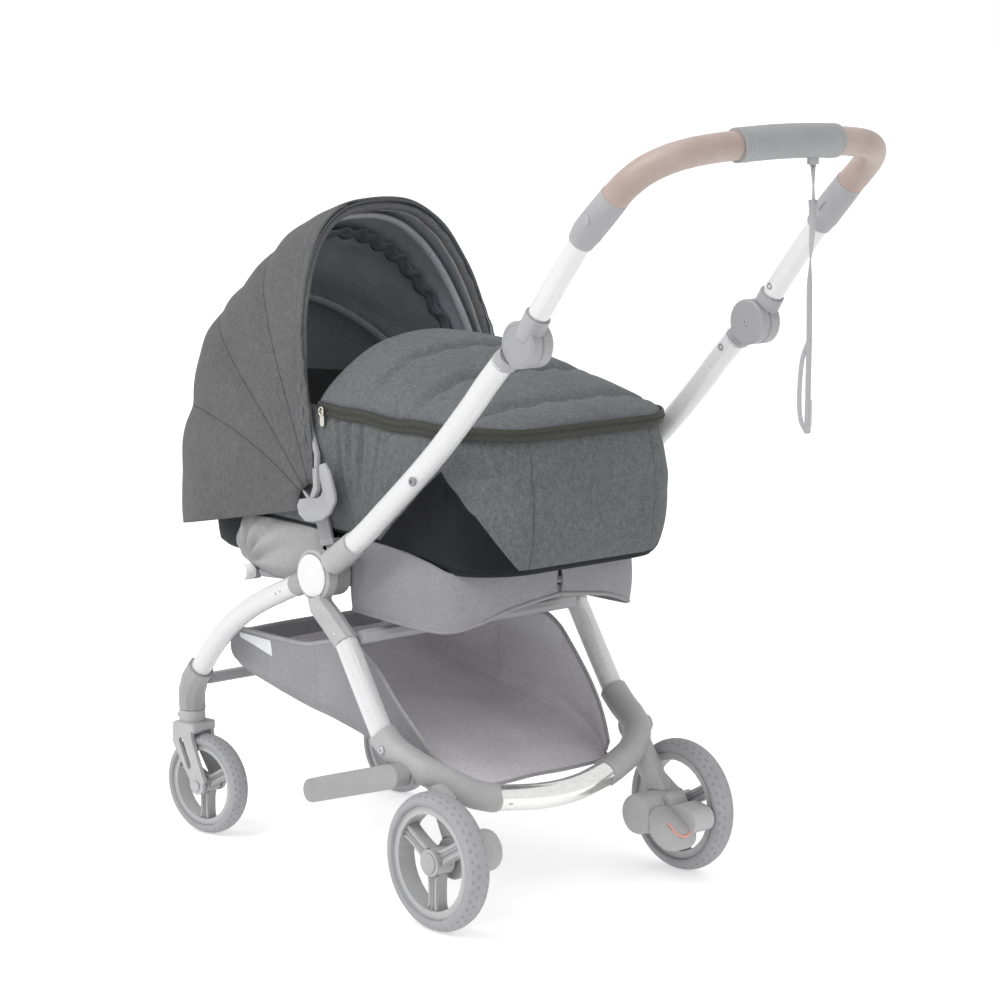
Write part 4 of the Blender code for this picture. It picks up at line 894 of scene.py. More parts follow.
ZIP = zip_shade()
path2 = []
loop_points = plan(0.1655, 0.380, 0.3875, 0.0765, 600)
ordered = [p for p in loop_points if p.y > 0.030]
ordered.sort(key=lambda p: math.atan2(p.y - 0.10, p.x))
for p in ordered:
    path2.append(at(p.x, p.y, 0.6325 - 0.005 * bell(p.y - 0.20, 0.10) + 0.0012 * math.sin(p.y * 60)))
tape = [(-0.0014, -0.0080), (0.0014, -0.0080), (0.0024, -0.0050), (0.0018, -0.0012), (0.0026, 0.0), (0.0018, 0.0012), (0.0024, 0.0050), (0.0014, 0.0080), (-0.0014, 0.0080)]
zip_band = sweep("zip_band", path2, tape, ZIP)
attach(zip_band, "rear_frame")
TEETH = plastic("zip_coil", lin(62, 62, 57), rough=0.45)
verts, faces = [], []
for p, q in zip(path2[::2], path2[1::2]):
    d = (q - p).normalized()
    n = d.cross(Vector((0, 0, 1))).normalized()
    if n.dot(p - at(0, 0.1, 0.63)) < 0:
        n = -n
    c0 = p + n * 0.0026
    base = len(verts)
    for sx in (-1, 1):
        for sy in (-1, 1):
            for sz in (-1, 1):
                verts.append(c0 + d * (0.00042 * sx) + n * (0.0006 * sy) + Vector((0, 0, 0.0014 * sz)))
    faces += [tuple(base + k for k in f) for f in ((0, 1, 3, 2), (4, 6, 7, 5), (0, 4, 5, 1), (2, 3, 7, 6), (0, 2, 6, 4), (1, 5, 7, 3))]
teeth = new_object("zip_teeth", verts, faces, TEETH, smooth=False)
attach(teeth, "rear_frame")

# black base under the pack
BASE = cloth("base_cloth", lin(22, 24, 27), contrast=0.15, rough=0.8, wrinkle=0.3)
pb = plan(0.154, 0.396, 0.378, 0.07, 240)
nb = ring_normals(pb)


def base_rows():
    out = []
    for h, inset in ((0.0, 0.030), (0.03, 0.010), (0.12, 0.002), (0.3, -0.001), (0.5, -0.002), (0.7, -0.0015), (0.9, 0.0), (1.0, 0.001)):
        row = []
        for p, n in zip(pb, nb):
            low = pack_floor(p.y) + 0.0005
            q = p - n * inset
            low = pack_floor(q.y) + 0.0005
            row.append(Vector((q.x + 0.002 * soft_noise((p.x, p.y, h), 12), q.y - MID_Y, low + (0.4680 - low) * h)))
        out.append(row)
    return out


rows = base_rows()
verts = [v for row in rows for v in row]
faces = [(j * 240 + i, j * 240 + (i + 1) % 240, (j + 1) * 240 + (i + 1) % 240, (j + 1) * 240 + i) for j in range(len(rows) - 1) for i in range(240)]
faces += [tuple(reversed(range(240))), tuple((len(rows) - 1) * 240 + i for i in range(240))]
pack = crisp(outward(new_object("pack_base_cover", verts, faces, BASE)), 70)
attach(pack, "rear_frame")
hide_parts("pack_base")


# mattress, tufted
MATTRESS = cloth("mattress_cloth", lin(112, 113, 118), contrast=0.10, wrinkle=0.25, wrinkle_scale=14)
mp = plan(0.139, 0.351, 0.359, 0.055, 160)


def mattress_rows():
    out = []
    for z, inset in ((0.4795, 0.008), (0.483, 0.002), (0.490, 0.0), (0.499, 0.0005), (0.505, 0.004), (0.508, 0.012)):
        out.append([(p - (p - Vector((0, 0.0))).normalized() * inset, z) for p in mp])
    for k in range(1, 12):
        f = 1 - k / 11.5
        out.append([(Vector((p.x * f, 0.0 + (p.y - 0.0) * f)), 0.5085 - 0.0030 * (0.5 + 0.5 * math.cos(p.x * f * 90)) * (0.5 + 0.5 * math.cos(p.y * f * 80))) for p in mp])
    return out


rows = mattress_rows()
verts = [Vector((p.x, p.y - MID_Y, z)) for row in rows for p, z in row]
faces = [(j * 160 + i, j * 160 + (i + 1) % 160, (j + 1) * 160 + (i + 1) % 160, (j + 1) * 160 + i) for j in range(len(rows) - 1) for i in range(160)]
faces += [tuple(reversed(range(160))), tuple((len(rows) - 1) * 160 + i for i in range(160))]
mattress = outward(new_object("mattress_pad", verts, faces, MATTRESS))
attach(mattress, "rear_frame")
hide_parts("mattress")

# ------------------------------------------------------------------ hood
HOOD_R = ((102, .405), (120, .407), (135, .405), (150, .430), (165, .433), (180, .440), (191, .452))


def hood_radius(angle):
    for (a0, r0), (a1, r1) in zip(HOOD_R, HOOD_R[1:]):
        if angle <= a1:
            t = (angle - a0) / (a1 - a0)
            t = t * t * (3 - 2 * t) if 0 <= t <= 1 else t
            return r0 + (r1 - r0) * t
    return HOOD_R[-1][1]


def hood_point(angle, turn, inset=0.0, half=0.178):
    c_, sn = math.cos(turn), math.sin(turn)
    reach = (hood_radius(angle) - inset) * abs(sn) ** (2 / 2.7)
    x = (half - inset) * math.copysign(abs(c_) ** (2 / 2.7), c_)
    r_ = math.radians(angle)
    return at(x, 0.037 + reach * math.cos(r_), 0.499 + reach * math.sin(r_))


SEAMS = ((111.0, 13.5), (131.0, 15.5), (146.0, 22.5))


def seam_angle(k, turn):
    low, gain = SEAMS[k]
    return low + gain * math.sin(min(turn, math.pi - turn)) ** 0.8


def hood_outer(u, v):
    """u along the arch, v from the rim back to the hem."""
    turn = 0.035 + (math.pi - 0.07) * u
    first_ = 101.8 - 9.0 * math.exp(-(min(turn, math.pi - turn) / 0.32) ** 2)
    angle = first_ + (191.6 - first_) * v
    dip = sum(bell(angle - seam_angle(k, turn), 3.2) for k in range(3))
    fold = 0.0
    side = abs(math.cos(turn))
    fold += 0.0012 * side * math.sin(angle * 0.20 + 4 * turn) * (1 - dip)
    gather = 0.0017 * math.sin(turn * 80) * bell(angle - 101.5, 4.5) * bell(min(turn, math.pi - turn) - 0.30, 0.20)
    rough = 0.0026 * soft_noise(hood_point(angle, turn), 9, 2.2) + 0.0014 * soft_noise(hood_point(angle, turn), 27, 5.0)
    calm = min(1.0, math.sin(turn) / 0.5)
    rough, fold = rough * calm, fold * calm
    puff = -0.0024 * dip * calm + 0.0030 * (1 - dip) * calm - 0.0006 + fold + gather + rough
    return hood_point(angle, turn, inset=-puff - 0.0005)


def hood_shade(s, base):
    """Seams as darker stitched lines; their place repeats the seam rule above."""
    y = s.math("ADD", s.xyz[1], MID_Y - 0.037)
    z = s.math("SUBTRACT", s.xyz[2], 0.499)
    angle = s.math("DEGREES", s.math("ARCTAN2", z, y))
    angle = s.math("ADD", angle, s.math("MULTIPLY", s.math("LESS_THAN", angle, -90.0), 360.0))
    xs = s.math("MINIMUM", s.math("DIVIDE", s.math("ABSOLUTE", s.xyz[0]), 0.178), 0.9999)
    cosine = s.math("POWER", xs, 1.35)
    sine = s.math("SQRT", s.math("SUBTRACT", 1.0, s.math("MULTIPLY", cosine, cosine)))
    gain = s.math("POWER", s.math("MAXIMUM", sine, 0.0001), 0.8)
    reach = s.math("SQRT", s.math("ADD", s.math("MULTIPLY", y, y), s.math("MULTIPLY", z, z)))
    total = None
    for low, k in SEAMS:
        off = s.math("SUBTRACT", angle, s.math("ADD", s.math("MULTIPLY", gain, k), low))
        mm = s.math("MULTIPLY", s.math("MULTIPLY", off, math.pi / 180), reach)
        one = s.line(mm, 0.0, 0.0024)
        total = one if total is None else s.math("MAXIMUM", total, one)
    hem = s.line(s.math("MULTIPLY", s.math("MULTIPLY", s.math("SUBTRACT", angle, 104.6), math.pi / 180), reach), 0.0, 0.0016)
    s.bump(s.math("MAXIMUM", total, s.math("MULTIPLY", hem, 0.6)), -0.9, 0.003)
    return s.mix(s.math("MULTIPLY", s.math("MAXIMUM", total, s.math("MULTIPLY", hem, 0.5)), 0.6), base, lin(38, 39, 42))


# painted shade: the hood takes the same charcoal twill as the cover, made darker to stand in for the shade on its sides
# that face away from the light
HOOD_TWILL_PAINTED_SHADE = melange("hood_twill_painted_shade", lin(86, 86, 87), contrast=0.22, extra=hood_shade, wrinkle=0.25)
LINING = cloth("hood_lining", lin(156, 160, 167), contrast=0.10, rough=0.75, wrinkle=0.5, wrinkle_scale=16)
NU, NV = 150, 96
canopy = grid("hood_canopy", NU, NV, hood_outer, [HOOD_TWILL_PAINTED_SHADE, LINING])
bm = bmesh.new()
bm.from_mesh(canopy.data)
bm.faces.ensure_lookup_table()
f = bm.faces[NU * NV // 2]
if f.normal.dot(f.calc_center_median() - at(0, 0.037, 0.499)) < 0:
    bmesh.ops.reverse_faces(bm, faces=bm.faces)
bm.to_mesh(canopy.data)
area = sum(f.calc_area() for f in bm.faces)
bm.free()
finish_mesh(canopy, ("SOLIDIFY", dict(thickness=0.0026, offset=-1.0, use_even_offset=False, material_offset=1, material_offset_rim=0)))
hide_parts("hood_shell")
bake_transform(canopy)

# the padded rim that wraps the front bow
def arch(angle, inset, first=0.16, count=120, half=0.178):
    return [hood_point(angle, first + (math.pi - 2 * first) * i / count, inset=inset, half=half) for i in range(count + 1)]


RIM = melange("hood_rim_twill", lin(92, 92, 94), contrast=0.18, wrinkle=0.3)
rim_path = arch(103.4, 0.0070, first=0.13, half=0.180)
rim_tube = sweep("hood_rim_binding", rim_path, ring(0.0066, 14, 1.25), RIM, up=Vector((0, 1, 0.2)))
for v in rim_tube.data.vertices:
    v.co += Vector((0, 0.0008 * math.sin(v.co.x * 150 + v.co.z * 120), 0.0006 * math.sin(v.co.z * 190)))
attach(rim_tube, "hood_rim")
piping = sweep("hood_rim_piping", arch(101.8, 0.0020, first=0.13, half=0.180), ring(0.0016, 8), cloth("piping", lin(74, 75, 78)), up=Vector((0, 1, 0.2)))
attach(piping, "hood_rim")

# lining: a sleeve round the middle bow, gathered trim and soft pleats inside
SLEEVE = cloth("bow_sleeve", lin(164, 167, 173), rough=0.75, wrinkle=0.3)
bow = sweep("hood_bow_sleeve", arch(143, 0.0125, first=0.26, half=0.1765), ring(0.0045, 12, 1.6), SLEEVE, up=Vector((0, 0.8, 0.6)))
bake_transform(bow)
second = sweep("hood_inner_band", arch(109.5, 0.0125, first=0.22), ring(0.0040, 10, 2.0), SLEEVE, up=Vector((0, 1, 0.3)))
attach(second, "hood_rim")
TRIM = cloth("gathered_trim", lin(100, 104, 112), rough=0.7, wrinkle=0.6, wrinkle_scale=40)


def trim_point(u, v):
    turn = 1.0 + 1.80 * u
    wave = math.sin(u * 84) * 0.0034 + math.sin(u * 37 + 1) * 0.0016
    angle = 117.0 + 4.2 * v + 0.5 * math.sin(u * 84 + 1.2)
    return hood_point(angle, turn, inset=0.0145 + wave * (0.4 + 0.6 * math.sin(math.pi * v)))


trim = grid("hood_gathered_trim", 230, 5, trim_point, TRIM)
finish_mesh(trim, ("SOLIDIFY", dict(thickness=0.0012, offset=0.0)))
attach(trim, "hood_rim")

# ------------------------------------------------------------------ seat: hammock cloth, side panels
PALE = cloth("seat_cloth", lin(150, 149, 150), contrast=0.05, rough=0.8, wrinkle=0.8, wrinkle_scale=18)
PANEL = cloth("seat_panel_cloth", lin(134, 133, 136), contrast=0.06, rough=0.8, wrinkle=0.35)


def hammock_point(u, v):
    y = -0.285 + (0.300 + 0.285) * v
    t = max(0.0, min(1.0, (0.037 - y) / 0.338))
    half = 0.1440 * max(0.0, 1 - t**2.2) ** (1 / 2.2) if y < 0.037 else 0.1440
    x = half * (2 * u - 1)
    z = pack_floor(y) - 0.0050 + 0.0012 * soft_noise((x, y, 0), 24)
    z -= 0.0016 * (1 - abs(2 * u - 1) ** 4)
    return at(x, y, z)


hammock = grid("seat_hammock_cloth", 60, 70, hammock_point, PALE)
bm = bmesh.new()
bm.from_mesh(hammock.data)
hammock_area = sum(f.calc_area() for f in bm.faces)
bm.free()
finish_mesh(hammock, ("SOLIDIFY", dict(thickness=0.0040, offset=0.0)))
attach(hammock, "rear_frame")
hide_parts("seat_hammock")


def rail_z(y):
    return pack_floor(y) - 0.0185


def flap(name, s, outline, mat, billow, creases, seed):
    """A side panel between a top and a bottom edge, each (y, z, x) through points; creases fan out from a point."""
    tops, lows = [along([Vector((x, y, z)) for y, z, x in edge_], 72) for edge_ in outline]
    cy, cz, depth = creases

    def p(u, v):
        k = round(u * 72)
        q = tops[k].lerp(lows[k], v)
        away = math.hypot(q.y - cy, q.z - cz)
        fan = math.sin(11 * math.atan2(q.z - cz, q.y - cy) + seed) * min(1.0, away / 0.03) * math.exp(-away / 0.09)
        hold = math.sin(math.pi * (0.06 + 0.88 * v)) * min(1.0, 4 * u + 0.2, 9 * (1 - u))
        out = billow * math.sin(math.pi * v) ** 0.7 + (depth * fan + 0.0028 * soft_noise(q, 20, seed)) * hold
        return at(s * (q.x + out), q.y, q.z)
    obj = grid(name, 72, 30, p, mat)
    finish_mesh(obj, ("SOLIDIFY", dict(thickness=0.0022, offset=0.0)))
    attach(obj, "rear_frame")
    return obj


for s, side in SIDES:
    flap(f"seat_side_cloth_{side}", s, (((-0.176, 0.440, 0.118), (-0.168, 0.455, 0.140), (-0.140, 0.466, 0.153), (-0.080, 0.468, 0.1565), (0.000, 0.4685, 0.1570), (0.040, 0.4685, 0.1570)),
                                        ((-0.180, 0.410, 0.118), (-0.170, 0.405, 0.140), (-0.142, 0.4030, 0.1570), (-0.090, 0.392, 0.1610), (-0.040, 0.390, 0.1610), (0.040, 0.397, 0.1610))),
         PALE, 0.0080, (-0.135, 0.400, 0.0085), 0.8 * s)
    skirt = (((0.098, 0.4690, 0.1585), (0.180, 0.4660, 0.1585), (0.250, 0.4560, 0.1580), (0.290, 0.4470, 0.1540), (0.316, 0.4440, 0.1280), (0.324, 0.4440, 0.0800), (0.326, 0.4440, 0.0000)),
             ((0.098, 0.3700, 0.1605), (0.180, 0.3670, 0.1610), (0.250, 0.3670, 0.1610), (0.290, 0.3700, 0.1540), (0.312, 0.3800, 0.1280), (0.322, 0.3950, 0.0800), (0.325, 0.4060, 0.0000)))
    flap(f"seat_panel_{side}", s, skirt, PANEL, 0.0050, (0.110, 0.380, 0.0020), 2.0)
    # rolled hem along the panel's lower edge
    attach(sweep(f"seat_panel_hem_{side}", along([at(s * x, y, z + 0.001) for y, z, x in skirt[1]], 60), ring(0.0032, 12), PANEL), "rear_frame")

# ------------------------------------------------------------------ basket
BASKET = ((-0.172, 0.166, 0.297, 0.304), (-0.163, 0.166, 0.250, 0.305), (-0.080, 0.167, 0.228, 0.306), (0.0, 0.167, 0.214, 0.308),
          (0.115, 0.167, 0.194, 0.325), (0.200, 0.165, 0.172, 0.255), (0.245, 0.154, 0.160, 0.208), (0.272, 0.140, 0.152, 0.176))
ACROSS = ((-1.0, 1.0), (-1.0, 0.55), (-1.0, 0.22), (-0.93, 0.06), (-0.80, 0.0), (-0.4, 0.0), (0.0, 0.0), (0.4, 0.0), (0.80, 0.0), (0.93, 0.06), (1.0, 0.22), (1.0, 0.55), (1.0, 1.0))


def sample(table, t):
    k = min(int(t * (len(table) - 1)), len(table) - 2)
    f_ = t * (len(table) - 1) - k
    return [p + (q - p) * f_ for p, q in zip(table[k], table[k + 1])]


def smooth_rows(table, t):
    n = len(table) - 1
    k = min(int(t * n), n - 1)
    f_ = t * n - k
    p0, p1, p2, p3 = (table[max(0, min(n, k + d))] for d in (-1, 0, 1, 2))
    return [0.5 * (2 * b + (c_ - a_) * f_ + (2 * a_ - 5 * b + 4 * c_ - d) * f_**2 + (3 * b - a_ - 3 * c_ + d) * f_**3) for a_, b, c_, d in zip(p0, p1, p2, p3)]


def basket_point(u, v):
    y, half, low, high = smooth_rows(BASKET, v)
    a_, h = sample(ACROSS, u)
    sag = -0.0050 * (1 - abs(a_) ** 2) * math.sin(math.pi * min(1, max(0, v))) if h < 0.1 else 0.0
    wall = 0.0045 * math.sin(math.pi * h) if abs(a_) > 0.95 else 0.0
    z = low + (high - low) * h + sag * 0.3
    p = at(half * a_, y, z)
    p.x -= math.copysign(wall + 0.0018 * abs(soft_noise(p, 16, 4.0)), a_)
    p.z += 0.0022 * soft_noise(p, 13, 8.0)
    return p


def basket_shade(s, base):
    """Net windows near the top of the front part of each side, and seams."""
    y, z = s.math("ADD", s.xyz[1], MID_Y), s.xyz[2]
    top = s.span(y, 0.0, 0.115, 0.308, 0.325)
    wall = s.span(s.math("ABSOLUTE", s.xyz[0]), 0.150, 0.152)
    net = s.math("MULTIPLY", s.math("MULTIPLY", s.span(y, -0.150, -0.149), s.span(y, -0.078, -0.077, 1.0, 0.0)),
                 s.math("MULTIPLY", s.span(s.math("SUBTRACT", z, s.span(y, -0.150, -0.078, 0.292, 0.277)), 0.0, 0.001), s.span(z, 0.299, 0.300, 1.0, 0.0)))
    net = s.math("MULTIPLY", net, wall)
    far = s.math("MULTIPLY", s.math("MULTIPLY", s.span(y, -0.02, -0.018), s.span(y, 0.150, 0.152, 1.0, 0.0)),
                 s.math("MULTIPLY", s.span(z, s.span(y, 0.0, 0.16, 0.292, 0.272), 0.31), s.span(s.xyz[0], -0.152, -0.150, 1.0, 0.0)))
    net = s.math("MAXIMUM", net, s.math("MULTIPLY", far, s.span(z, 0.3, 0.301, 1.0, 1.0)))
    holes = s.span(s.cells(330), 0.25, 0.5, 0.86, 1.0)
    seam = s.math("MAXIMUM", s.line(y, 0.020, 0.0015), s.line(y, -0.090, 0.0015))
    seam = s.math("MULTIPLY", seam, wall)
    s.bump(seam, -0.6, 0.0015)
    base = s.mix(s.math("MULTIPLY", seam, 0.35), base, lin(105, 104, 107))
    return s.mix(net, base, s.scaled(lin(214, 215, 217), holes))


BASKET_CLOTH = cloth("basket_cloth", lin(136, 136, 138), contrast=0.06, rough=0.82, wrinkle=0.5, wrinkle_scale=12, extra=basket_shade)
BASKET_INSIDE = cloth("basket_inside_cloth", lin(196, 194, 199), contrast=0.05, rough=0.85, wrinkle=0.45, wrinkle_scale=10, extra=basket_shade)
basket = grid("basket_cloth", 96, 84, basket_point, [BASKET_CLOTH, BASKET_INSIDE])
finish_mesh(basket, ("SOLIDIFY", dict(thickness=0.0022, offset=0.0)))
outward(basket)
heart = at(0, 0.05, 0.32)
for poly in basket.data.polygons:
    poly.material_index = 1 if poly.normal.dot(poly.center - Vector((0, poly.center.y, 0.36))) < 0 else 0
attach(basket, "rear_frame")
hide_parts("basket")
edge = [basket_point(0, v / 60) for v in range(61)]
BIND = cloth("basket_binding", lin(150, 149, 152), wrinkle=0.2)
for s, side in SIDES:
    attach(sweep(f"basket_binding_{side}", [basket_point(0 if s < 0 else 1, v / 60) + Vector((0, 0, 0.0005)) for v in range(61)], ring(0.0024, 10, 1.3), BIND), "rear_frame")
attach(sweep("basket_binding_rear", along([basket_point(u / 24, 1.0) for u in range(25)], 60), ring(0.0024, 10), BIND), "rear_frame")
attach(sweep("basket_binding_front", along([basket_point(u / 24, 0.0) for u in range(25)], 60), ring(0.0024, 10), BIND), "rear_frame")

# ------------------------------------------------------------------ hard details
for s, side in SIDES:
    body = "push_frame"
    screw(f"push_rivet_{side}", at(s * 0.2142 if s > 0 else s * 0.1862, 0.285, 0.571) if s > 0 else at(-0.1860, 0.307, 0.598), (1, 0, 0), 0.0062, body, GREY_DARK, 0.0022)
    screw(f"elbow_screw_{side}", at(s * 0.1773, 0.48, 0.762), (-s, 0, 0), 0.0040, body, STEEL)
    screw(f"lower_tube_rivet_{side}", at(s * 0.1862, 0.428, 0.7245), (-s, 0, 0), 0.0050, body, GREY_DARK, 0.0020)
    screw(f"upper_tube_rivet_{side}", at(s * 0.1884, 0.512, 0.8100), (-s, 0, 0), 0.0050, "upper_handle", GREY_DARK, 0.0022)
    screw(f"sleeve_screw_a_{side}", at(s * 0.1833, 0.6150, 0.9285), (-s, 0, 0), 0.0042, "upper_handle", STEEL)
    screw(f"sleeve_screw_b_{side}", at(s * 0.1840, 0.5960, 0.9085), (-s, 0, 0), 0.0034, "upper_handle", STEEL)
    screw(f"leg_clip_screw_{side}", at(s * 0.2185, 0.1285, 0.3475), (s, 0, 0), 0.0042, "rear_frame", STEEL)
    screw(f"corner_screw_{side}", at(s * 0.2212, 0.2310, 0.2145), (s, 0, 0), 0.0056, "rear_frame", STEEL)
    screw(f"leg_pin_a_{side}", at(s * 0.2034, -0.0155, 0.3800), (s, 0, 0), 0.0022, "front_frame", GREY_DARK, 0.0008)
    screw(f"leg_pin_b_{side}", at(s * 0.2034, -0.0060, 0.3845), (s, 0, 0), 0.0022, "front_frame", GREY_DARK, 0.0008)
    screw(f"bracket_screw_{side}", at(s * 0.1880, 0.037, 0.499), (s, 0, 0), 0.0056, "hood_rim", GREY, 0.0015)
    screw(f"crossbar_screw_{side}", at(s * 0.086, 0.3307, 0.1435), (s * 0.25, 0.97, 0.05), 0.0042, "rear_frame", STEEL, 0.0014)
    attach(crisp(lathe(f"rear_hub_cap_{side}", [(0.0, 0.0), (0.0, 0.0128), (0.0020, 0.0128), (0.0032, 0.0108), (0.0040, 0.0060), (0.0043, 0.0)], at(s * (0.2158 + 0.0147), 0.3382, 0.09), (s, 0, 0),
                        GREY_HUB, 32)), f"rear_wheel_{side}")

# line round each hub disc
for s, side in SIDES:
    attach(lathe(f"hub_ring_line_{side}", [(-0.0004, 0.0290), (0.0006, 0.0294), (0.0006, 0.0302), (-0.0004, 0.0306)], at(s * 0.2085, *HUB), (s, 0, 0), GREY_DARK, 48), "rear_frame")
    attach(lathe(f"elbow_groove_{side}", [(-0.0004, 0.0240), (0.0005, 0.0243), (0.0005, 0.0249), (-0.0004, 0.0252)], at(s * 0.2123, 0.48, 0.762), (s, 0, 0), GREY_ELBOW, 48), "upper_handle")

# collars at both ends of the grip, and a strap ring
for s, side in SIDES:
    mat = plastic(f"grip_collar_{side}", lin(152, 153, 156), rough=0.5)
    for k in range(3):
        x = 0.0800 - 0.0052 * k
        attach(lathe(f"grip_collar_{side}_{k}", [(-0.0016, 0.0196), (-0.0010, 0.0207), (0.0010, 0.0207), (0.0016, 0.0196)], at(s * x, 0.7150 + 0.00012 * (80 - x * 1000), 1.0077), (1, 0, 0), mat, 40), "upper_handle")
ring_path = [at(-0.042, 0.7200, 0.9806) + Vector((0.0042 * math.cos(2 * math.pi * k / 28), 0, 0.0042 * math.sin(2 * math.pi * k / 28))) for k in range(28)]
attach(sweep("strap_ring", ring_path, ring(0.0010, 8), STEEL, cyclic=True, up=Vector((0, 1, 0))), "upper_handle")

# the brake pedal's rounded tongue and its coral line
CORAL = plastic("coral_line", lin(236, 160, 142), rough=0.5)
rows_ = []
for wide, top_, low_, y in ((0.020, 0.1040, 0.0720, 0.3660), (0.027, 0.1010, 0.0620, 0.3760), (0.030, 0.0970, 0.0560, 0.3880), (0.030, 0.0910, 0.0530, 0.3990), (0.027, 0.0840, 0.0530, 0.4080), (0.020, 0.0760, 0.0560, 0.4130)):
    row = []
    for k in range(32):
        ang_ = 2 * math.pi * k / 32
        cx, cz = math.cos(ang_), math.sin(ang_)
        row.append(at(-0.1480 + wide * math.copysign(abs(cx) ** 0.6, cx), y, (top_ + low_) / 2 + (top_ - low_) / 2 * math.copysign(abs(cz) ** 0.7, cz)))
    rows_.append(row)
verts = [v for row in rows_ for v in row]
faces = [(j * 32 + k, j * 32 + (k + 1) % 32, (j + 1) * 32 + (k + 1) % 32, (j + 1) * 32 + k) for j in range(5) for k in range(32)]
faces += [tuple(range(32)), tuple(5 * 32 + k for k in range(32))]
tongue = crisp(outward(new_object("pedal_tongue", verts, faces, GREY_HUB)), 40)
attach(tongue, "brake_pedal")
pts = [at(-0.1310, 0.4000, 0.0905), at(-0.1310, 0.4060, 0.0860), at(-0.1335, 0.4105, 0.0800), at(-0.1410, 0.4140, 0.0745), at(-0.1500, 0.4145, 0.0730), at(-0.1585, 0.4130, 0.0760), at(-0.1625, 0.4095, 0.0815), at(-0.1630, 0.4050, 0.0870)]
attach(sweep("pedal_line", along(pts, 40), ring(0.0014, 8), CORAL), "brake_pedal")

# smooth skins over the many-sided CAD tubes, a quarter of a millimetre proud
def skin(name, points, radius, mat, body, steps=70, scale=None, up=(1, 0, 0)):
    obj = sweep(name, along(points, steps), ring(radius + 0.0007, 40), mat, up=Vector(up), scale=scale)
    crisp(obj, 50)
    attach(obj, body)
    return obj


def toward(start_, direction, distance):
    d = Vector((0, *direction)).normalized()
    return start_ + d * distance


for s, side in SIDES:
    hub = at(s * 0.2, *HUB)
    skin(f"push_socket_skin_{side}", [toward(hub, (0.832, 0.555), 0.0395), toward(hub, (0.832, 0.555), 0.067), toward(hub, (0.832, 0.555), 0.0955)], 0.0165, GREY_HUB, "push_frame", 12)
    skin(f"push_tube_skin_{side}", [at(s * 0.2, *q) for q in ((0.1440, 0.4665), (0.1735, 0.4880), (0.203, 0.5125), (0.267, 0.566), (0.322, 0.615), (0.380, 0.6725), (0.411, 0.7060), (0.4395, 0.7345))], 0.0142, TUBE, "push_frame")
    skin(f"handle_tube_skin_{side}", [at(s * 0.2, 0.5070, 0.8020), at(s * 0.2005, 0.525, 0.8245), at(s * 0.2010, 0.543, 0.8470), at(s * 0.2015, 0.566, 0.8745), at(s * 0.2018, 0.5820, 0.8942)], 0.0130, TUBE, "upper_handle", 40)
    skin(f"sleeve_skin_{side}", [at(s * 0.2018, 0.5805, 0.8926), at(s * 0.2015, 0.592, 0.9055), at(s * 0.2004, 0.607, 0.9205), at(s * 0.1991, 0.625, 0.938), at(s * 0.1985, 0.6355, 0.9485)], 0.018, GREY_SLEEVE, "upper_handle", 40,
         scale=lambda t_: 0.86 + 0.14 * min(1.0, t_ / 0.22) if t_ < 0.22 else 1.0 - 0.03 * max(0.0, (t_ - 0.6) / 0.4))
    skin(f"leather_cover_{side}", [at(s * q[0], q[1], q[2]) for q in ((.1988, .6303, .9434), (.1975, .6520, .9625), (.1900, .6745, .9800), (.1740, .6930, .9925), (.1500, .7055, 1.0005), (.1180, .7120, 1.0050), (.0830, .7150, 1.0075))],
         0.0168, LEATHER, "upper_handle", 90, up=(0, -0.66, 0.75))
    skin(f"rear_leg_skin_{side}", [at(s * 0.2037, 0.1376, 0.3379), at(s * 0.2037, 0.1730, 0.2857), at(s * 0.2037, 0.2120, 0.2292)], 0.0145, REAR_TUBE, "rear_frame", 24)
    skin(f"front_leg_skin_{side}", [at(s * 0.19, *q) for q in ((0.0130, 0.3941), (-0.022, 0.379), (-0.078, 0.353), (-0.131, 0.3195), (-0.174, 0.281), (-0.2065, 0.2435))], 0.0135,
         FRONT_MASK, "front_frame")
    skin(f"corner_skin_{side}", [at(s * q[0], q[1], q[2]) for q in ((.2037, .2124, .2283), (.2010, .234, .212), (.194, .262, .199), (.181, .285, .187), (.155, .303, .170), (.128, .3060, .156), (.0985, .3108, .1470))],
         0.0185, GREY_HUB, "rear_frame", 60, up=(0, 0.6, 0.8))
    # the brake drum runs further in than its housing, as a turned cover with a raised band
    prof = [(0.0, 0.0), (0.0, 0.0225), (0.0020, 0.0262), (0.0055, 0.0276), (0.0180, 0.0279), (0.0184, 0.0284), (0.0222, 0.0284), (0.0226, 0.0281), (0.0330, 0.0281), (0.0330, 0.0)]
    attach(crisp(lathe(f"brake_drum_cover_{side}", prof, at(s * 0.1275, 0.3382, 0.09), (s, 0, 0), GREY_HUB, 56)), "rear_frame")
skin("centre_grip_cover", [at(q[0], q[1], q[2]) for q in ((-.0826, .7150, 1.0075), (-.066, .7163, 1.0083), (-.05, .7175, 1.0090), (-.025, .7186, 1.0098), (0, .7190, 1.0100), (.025, .7186, 1.0098), (.05, .7175, 1.0090), (.066, .7163, 1.0083), (.0826, .7150, 1.0075))],
     0.0200, GRIP, "upper_handle", 80, up=(0, 0, 1))
skin("crossbar_skin", [at(q[0], q[1], q[2]) for q in ((-.0975, .3113, .1468), (-.074, .3178, .1446), (-.05, .3235, .1425), (-.025, .3270, .1409), (0, .328, .1405), (.025, .3270, .1409), (.05, .3235, .1425), (.074, .3178, .1446), (.0975, .3113, .1468))],
     0.0165, CHROME, "rear_frame", 60, up=(0, 0, 1))

